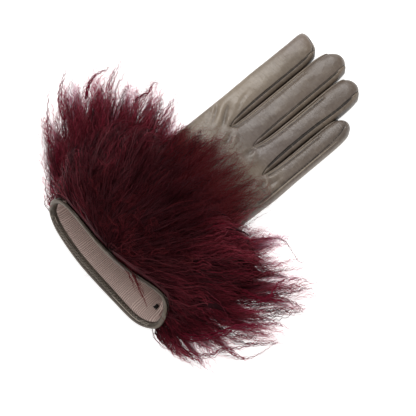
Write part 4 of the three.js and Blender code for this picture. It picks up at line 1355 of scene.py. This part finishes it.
def underwool(name):
    """The mat, a closed thin sheet that lies on the table and on the hand."""
    reach = reach_at(MAT_ANGLES)[:, None]
    turned, share = np.meshgrid(np.radians(MAT_ANGLES), np.linspace(0.05, 1, 60), indexing="ij")
    inside = in_mouth(*on_fan(turned, share * reach))
    clear = np.where(inside.any(1), share[0, ::-1][np.argmax(inside[:, ::-1], axis=1)] + 0.05, 0)
    first = np.maximum(MAT_FROM, clear)[:, None]
    share = first + (MAT_TO - first) * np.linspace(0, 1, MAT_STEPS)
    turned = np.repeat(turned[:, :1], MAT_STEPS, axis=1)
    x, y = on_fan(turned, share * reach)
    x = np.clip(x, *MAT_ENDS)
    ground = read_field(softened(leather_ground, 1), x, y)
    low = np.dstack([x, y, np.maximum(ground, read_field(leather_ground, x, y)) + MAT_CLEAR])
    high = low + (0, 0, MAT_THICKNESS)
    number = np.arange(x.size).reshape(x.shape)
    top = np.stack([number[:-1, :-1], number[1:, :-1], number[1:, 1:], number[:-1, 1:]], axis=2)
    top = top.reshape(-1, 4)
    border = np.concatenate([number[:, 0], number[-1, 1:], number[-2::-1, -1], number[0, -2:0:-1]])
    after = np.roll(border, -1)
    side = np.column_stack([border, border + x.size, after + x.size, after])
    faces = np.concatenate([top[:, ::-1] + x.size, top, side])
    places = in_frame(np.concatenate([high.reshape(-1, 3), low.reshape(-1, 3)]))
    mesh = bpy.data.meshes.new(name)
    mesh.from_pydata(places.tolist(), [], faces.tolist())
    piece = bpy.data.objects.new(name, mesh)
    bpy.context.scene.collection.objects.link(piece)
    keep_value(piece, "across", np.tile((turned * 110).ravel(), 2))
    keep_value(piece, "share", np.tile(share.ravel(), 2))
    keep_value(piece, "on_leather", np.tile(fade(ground, 0.5, 4).ravel(), 2))
    only(piece)
    bpy.ops.object.mode_set(mode="EDIT")
    bpy.ops.mesh.select_all(action="SELECT")
    bpy.ops.mesh.normals_make_consistent(inside=False)
    bpy.ops.object.mode_set(mode="OBJECT")
    bpy.ops.object.shade_smooth()
    finish_piece(piece, wool_finish, "fur")


underwool("fur_underwool")

# %% [markdown]
# Round the fan's edge the hair thins out to single wisps, finer than the locks. Against the white
# table they read as a pink haze. Over the hand the same fine hair is a veil through which the leather
# shows.

# %% Wisps
SINGLE = {"loose": 3.0, "gather": 0.1, "pace": 2.3, "tones": (0.3, 1.0)}
VEIL = {**SINGLE, "tones": (0.5, 1.0)}
WIDEST = 132  # millimetres from the middle, where the last wisps end
wisps = lay(fan_tips(170, (0.95, 1.1)), (26, 50), (0.5, 6), (0.3, 5), (2, 5), 3.6, 1.1, 0.12,
            sway=0.24, hooks=0.5)
wisps += lay(fan_tips(480, (0.8, 1.1)), (22, 44), (0.5, 8), (0.3, 5), (1, 2), 4, 1.3, 0.09, SINGLE,
             sway=0.4, hooks=0.6)
for zone in ((-104, -46), (44, 110)):
    ends = fan_tips(150, (0.88, 1.12), zone)
    ends = ends[np.abs(ends[:, 0]) < WIDEST]
    wisps += lay(ends, (20, 40), (0.5, 6), (0.3, 5), (1, 2), 4, 1.3, 0.085, SINGLE, sway=0.3, hooks=0.4)
tubes("fur_wisps", [hair[1:] for hair in wisps if not over_hand(hair)], dyed["wisps"])
veil_tips = np.vstack([fan_tips(100, (0.9, 1.08), (-23, -9)), fan_tips(480, (0.9, 1.27), (-9, 34))])
veil_tips = veil_tips[read_field(leather_ground, *veil_tips.T) > 3]
veil = lay(veil_tips, (26, 50), (0.5, 3), (0.3, 3), (1, 4), 3.4, 1.2, 0.12, VEIL, sway=0.3, hooks=0.5)

# %% [markdown]
# A few long locks stray from the fan, each in its own way, so those are laid one by one: past the
# fan's ends, over the hand, across the mouth, and two fine hairs that curl out from under the rim. The
# highest ones join the veil, because they lie over leather or knit.

# %% Stray locks
STRAYS = [  # hairs, thickness, height, how much higher its root is, and the x and y that it passes
    (5, 0.34, 12, 0, [(-107.3, 64.7), (-115.9, 68.7), (-126.8, 76.6), (-136.9, 89.2), (-141.4, 97.1)]),
    (4, 0.27, 10, 0, [(-84, 36.6), (-93.8, 42.9), (-103.5, 45), (-119.3, 56.4), (-129.8, 66),
                      (-140.2, 76.9)]),
    (6, 0.37, 16, 0, [(-108.1, 85.6), (-116.5, 96.3), (-118.9, 104.9), (-117.4, 112.7), (-116.9, 120.3)]),
    (4, 0.24, 14, 0, [(-104.1, 103.9), (-109.6, 112.8), (-113.7, 123.4), (-117.7, 129)]),
    (5, 0.31, 16, 0, [(-82.6, 111.3), (-82.7, 117.4), (-81, 125.5), (-84.3, 130.5), (-83, 133.8),
                      (-79.2, 134.9)]),
    (4, 0.24, 18, 0, [(-58.9, 116.4), (-60.8, 124.1), (-63.3, 132.4), (-63.4, 138.5)]),
    (4, 0.27, 26, 0, [(-18.8, 106.6), (-17.7, 118.6), (-17.2, 130.1), (-15.9, 133.9), (-8.5, 137.2)]),
    (4, 0.27, 26, 0, [(-5.2, 113.2), (0.1, 127.4), (3.7, 136.1), (10.2, 142.2)]),
    (4, 0.27, 24, 0, [(9.2, 117.1), (13.5, 129.1), (14.8, 140.1)]),
    (7, 0.41, 8, 0, [(75.6, 15.7), (86.1, 23.7), (94.4, 37.7), (99.9, 51.3), (109.5, 63), (116.1, 71.8),
                     (128.5, 80.1)]),
    (5, 0.31, 5, 0, [(77.3, 6.3), (91.7, 10.8), (102.7, 21.3), (105, 30), (114.2, 44.1), (117.4, 53.9),
                     (127.1, 65.7)]),
    (4, 0.24, 7, 0, [(94.7, 32.4), (110.9, 34.3), (120.5, 38.2), (125.4, 50.4), (127, 65.7)]),
    (5, 0.34, 12, 0, [(80.9, 69.5), (98.8, 77.8), (96.8, 90.5), (96.4, 96.9), (104, 107.7),
                      (112.2, 112.1)]),
    (5, 0.34, 10, 0, [(94.6, 71.9), (100.2, 81.5), (111.7, 90.7), (118.8, 94), (122.2, 98.8)]),
    (4, 0.17, 14, 0, [(57.6, 100.9), (65.3, 111.7), (75.4, 119.3), (94.9, 116.2), (95.2, 125.9)]),
    (8, 0.34, 33, 1, [(7, 18.5), (18.2, 16.2), (28.5, 13.8), (37.8, 10.4), (47.6, 7.5), (52.5, 5.1)]),
    (6, 0.3, 33, 1, [(0, 18.2), (11.6, 13.5), (21.2, 12.6), (32.7, 9.3), (38, 6)]),
    (8, 0.32, 33, 2, [(6, 20.5), (21.3, 17.3), (32.2, 14.5), (42.5, 11), (46, 7)]),
    (2, 0.06, 1, 0, [(-4.5, 2), (-7.1, -4.3), (-6.3, -12), (0.5, -14.5), (5, -13), (7.6, -8.5), (7, -3)]),
]
STRAND = {"loose": 0.7, "pace": 1.5, "mouth": 0}
OVER_HAND, OVER_MOUTH = 23, 30  # millimetres; strays above these heights lie there

strays = []
for hairs, width, height, lift, places in STRAYS:
    root, *rest = [(x, y, height) for x, y in places]
    line, length = rounded_line([(*root[:2], height + lift), *rest])
    count = (hairs, hairs + 1)
    if height > OVER_HAND:
        swing = 0.45 if height > OVER_MOUTH else 0.9
        veil += grown([line], [length], count, 2.4, swing, width * 0.6, tones=(0.3, 0.7), **STRAND)
    else:
        strays += grown([line], [length], count, 2.2, 0.9, width, gather=0.75, tones=(0.1, 0.4), **STRAND)
veil += [hair for hair in wisps if over_hand(hair)]
tubes("fur_strays", [hair[1:] for hair in strays], dyed["strays"])
tubes("fur_veil", [hair[1:] for hair in veil], dyed["veil"])

# %% [markdown]
# Where the band meets the knit, an overlock seam runs round the mouth: a dark strip crossed by light
# loops of thread. Two zigzags of thread are laid on the band.

# %% Overlock thread
band_tree = BVHTree.FromObject(facing, bpy.context.evaluated_depsgraph_get())
PALM_EDGE = ([-62, -52, -31, -14, 5, 24, 42, 53, 59], [10.6, 5.4, 1.6, 0.2, -0.2, -0.2, 0, 1.9, 5])
THREAD = 0.3  # millimetres from the thread's middle to its outside
THREAD_END = 57  # the x where the strip goes out of sight


def zigzag(start, pitch, near, far):
    """A thread that crosses the band to and fro."""
    x = np.arange(start, THREAD_END, pitch / 2)
    y = np.interp(x, *PALM_EDGE) + np.where(np.arange(len(x)) % 2, near, far)
    hits = [plumb(band_tree, *place, 20) for place in zip(x, y)]
    places = np.array([hit + (0, 0, THREAD) for hit in hits if hit is not None])
    return places, np.full(len(places), THREAD), 0.5


def thread_finish(name, colour):
    """Thread, with painted shade in the hollows between its strands."""
    finish = Finish(name)
    # twist marks where painted shade darkens the thread's hollows
    twist = finish.cloud(0.0006, 1)
    finish.surface(Base_Color=finish.blend(twist, colour, tuple(c * 0.7 for c in colour)), Roughness=0.7)
    return finish


loops = [zigzag(-57, 2.6, -1.3, 1.4), zigzag(-55.9, 2.6, -1.0, 1.7)]
tubes("overlock_thread", loops, thread_finish("greige_thread", shade(204, 192, 178)), "knit")

# %% [markdown]
# A small black tack of thread is left in the lining, near the mouth's right end. It is a knot of six
# loops that wind inwards, and it lies on the knit's floor.

# %% Thread tack
TACK_X, TACK_Y = 48.6, 16.8
TACK_SIZE, TACK_CORE, TACK_STEPS = 1.8, 0.5, 14  # a loop's half size at its start and end, and its steps
TACK_THREAD, TACK_CLEAR = 0.48, 0.8  # the thread's half thickness, and the knot's height over the knit
lining_tree = BVHTree.FromObject(lining, bpy.context.evaluated_depsgraph_get())
tack_floor = plumb(lining_tree, TACK_X, TACK_Y, 20)[2]
print("the tack lies at a height of", round(tack_floor, 1), "mm")
knot = []
for turn_by in np.linspace(0, 5, 6):
    angle = turn_by + np.linspace(0, 5, TACK_STEPS)
    size = np.linspace(TACK_SIZE, TACK_CORE, TACK_STEPS)
    x = TACK_X + size * np.cos(angle) * 0.85
    y = TACK_Y + size * np.sin(angle * 1.3 + 2 * turn_by)
    z = tack_floor + TACK_CLEAR + 0.5 * np.sin(angle * 2)
    knot.append((np.column_stack([x, y, z]), np.full(TACK_STEPS, TACK_THREAD), 0.5))
tubes("thread_tack", knot, thread_finish("black_thread", shade(22, 20, 20)), "knit")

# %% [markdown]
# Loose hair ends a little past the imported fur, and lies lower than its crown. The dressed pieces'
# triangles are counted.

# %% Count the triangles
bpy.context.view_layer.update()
pieces = [o for o in scene.objects if o.type == "MESH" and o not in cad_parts.values()]
print("triangles in all:", sum(len(f.vertices) - 2 for o in pieces for f in o.data.polygons))
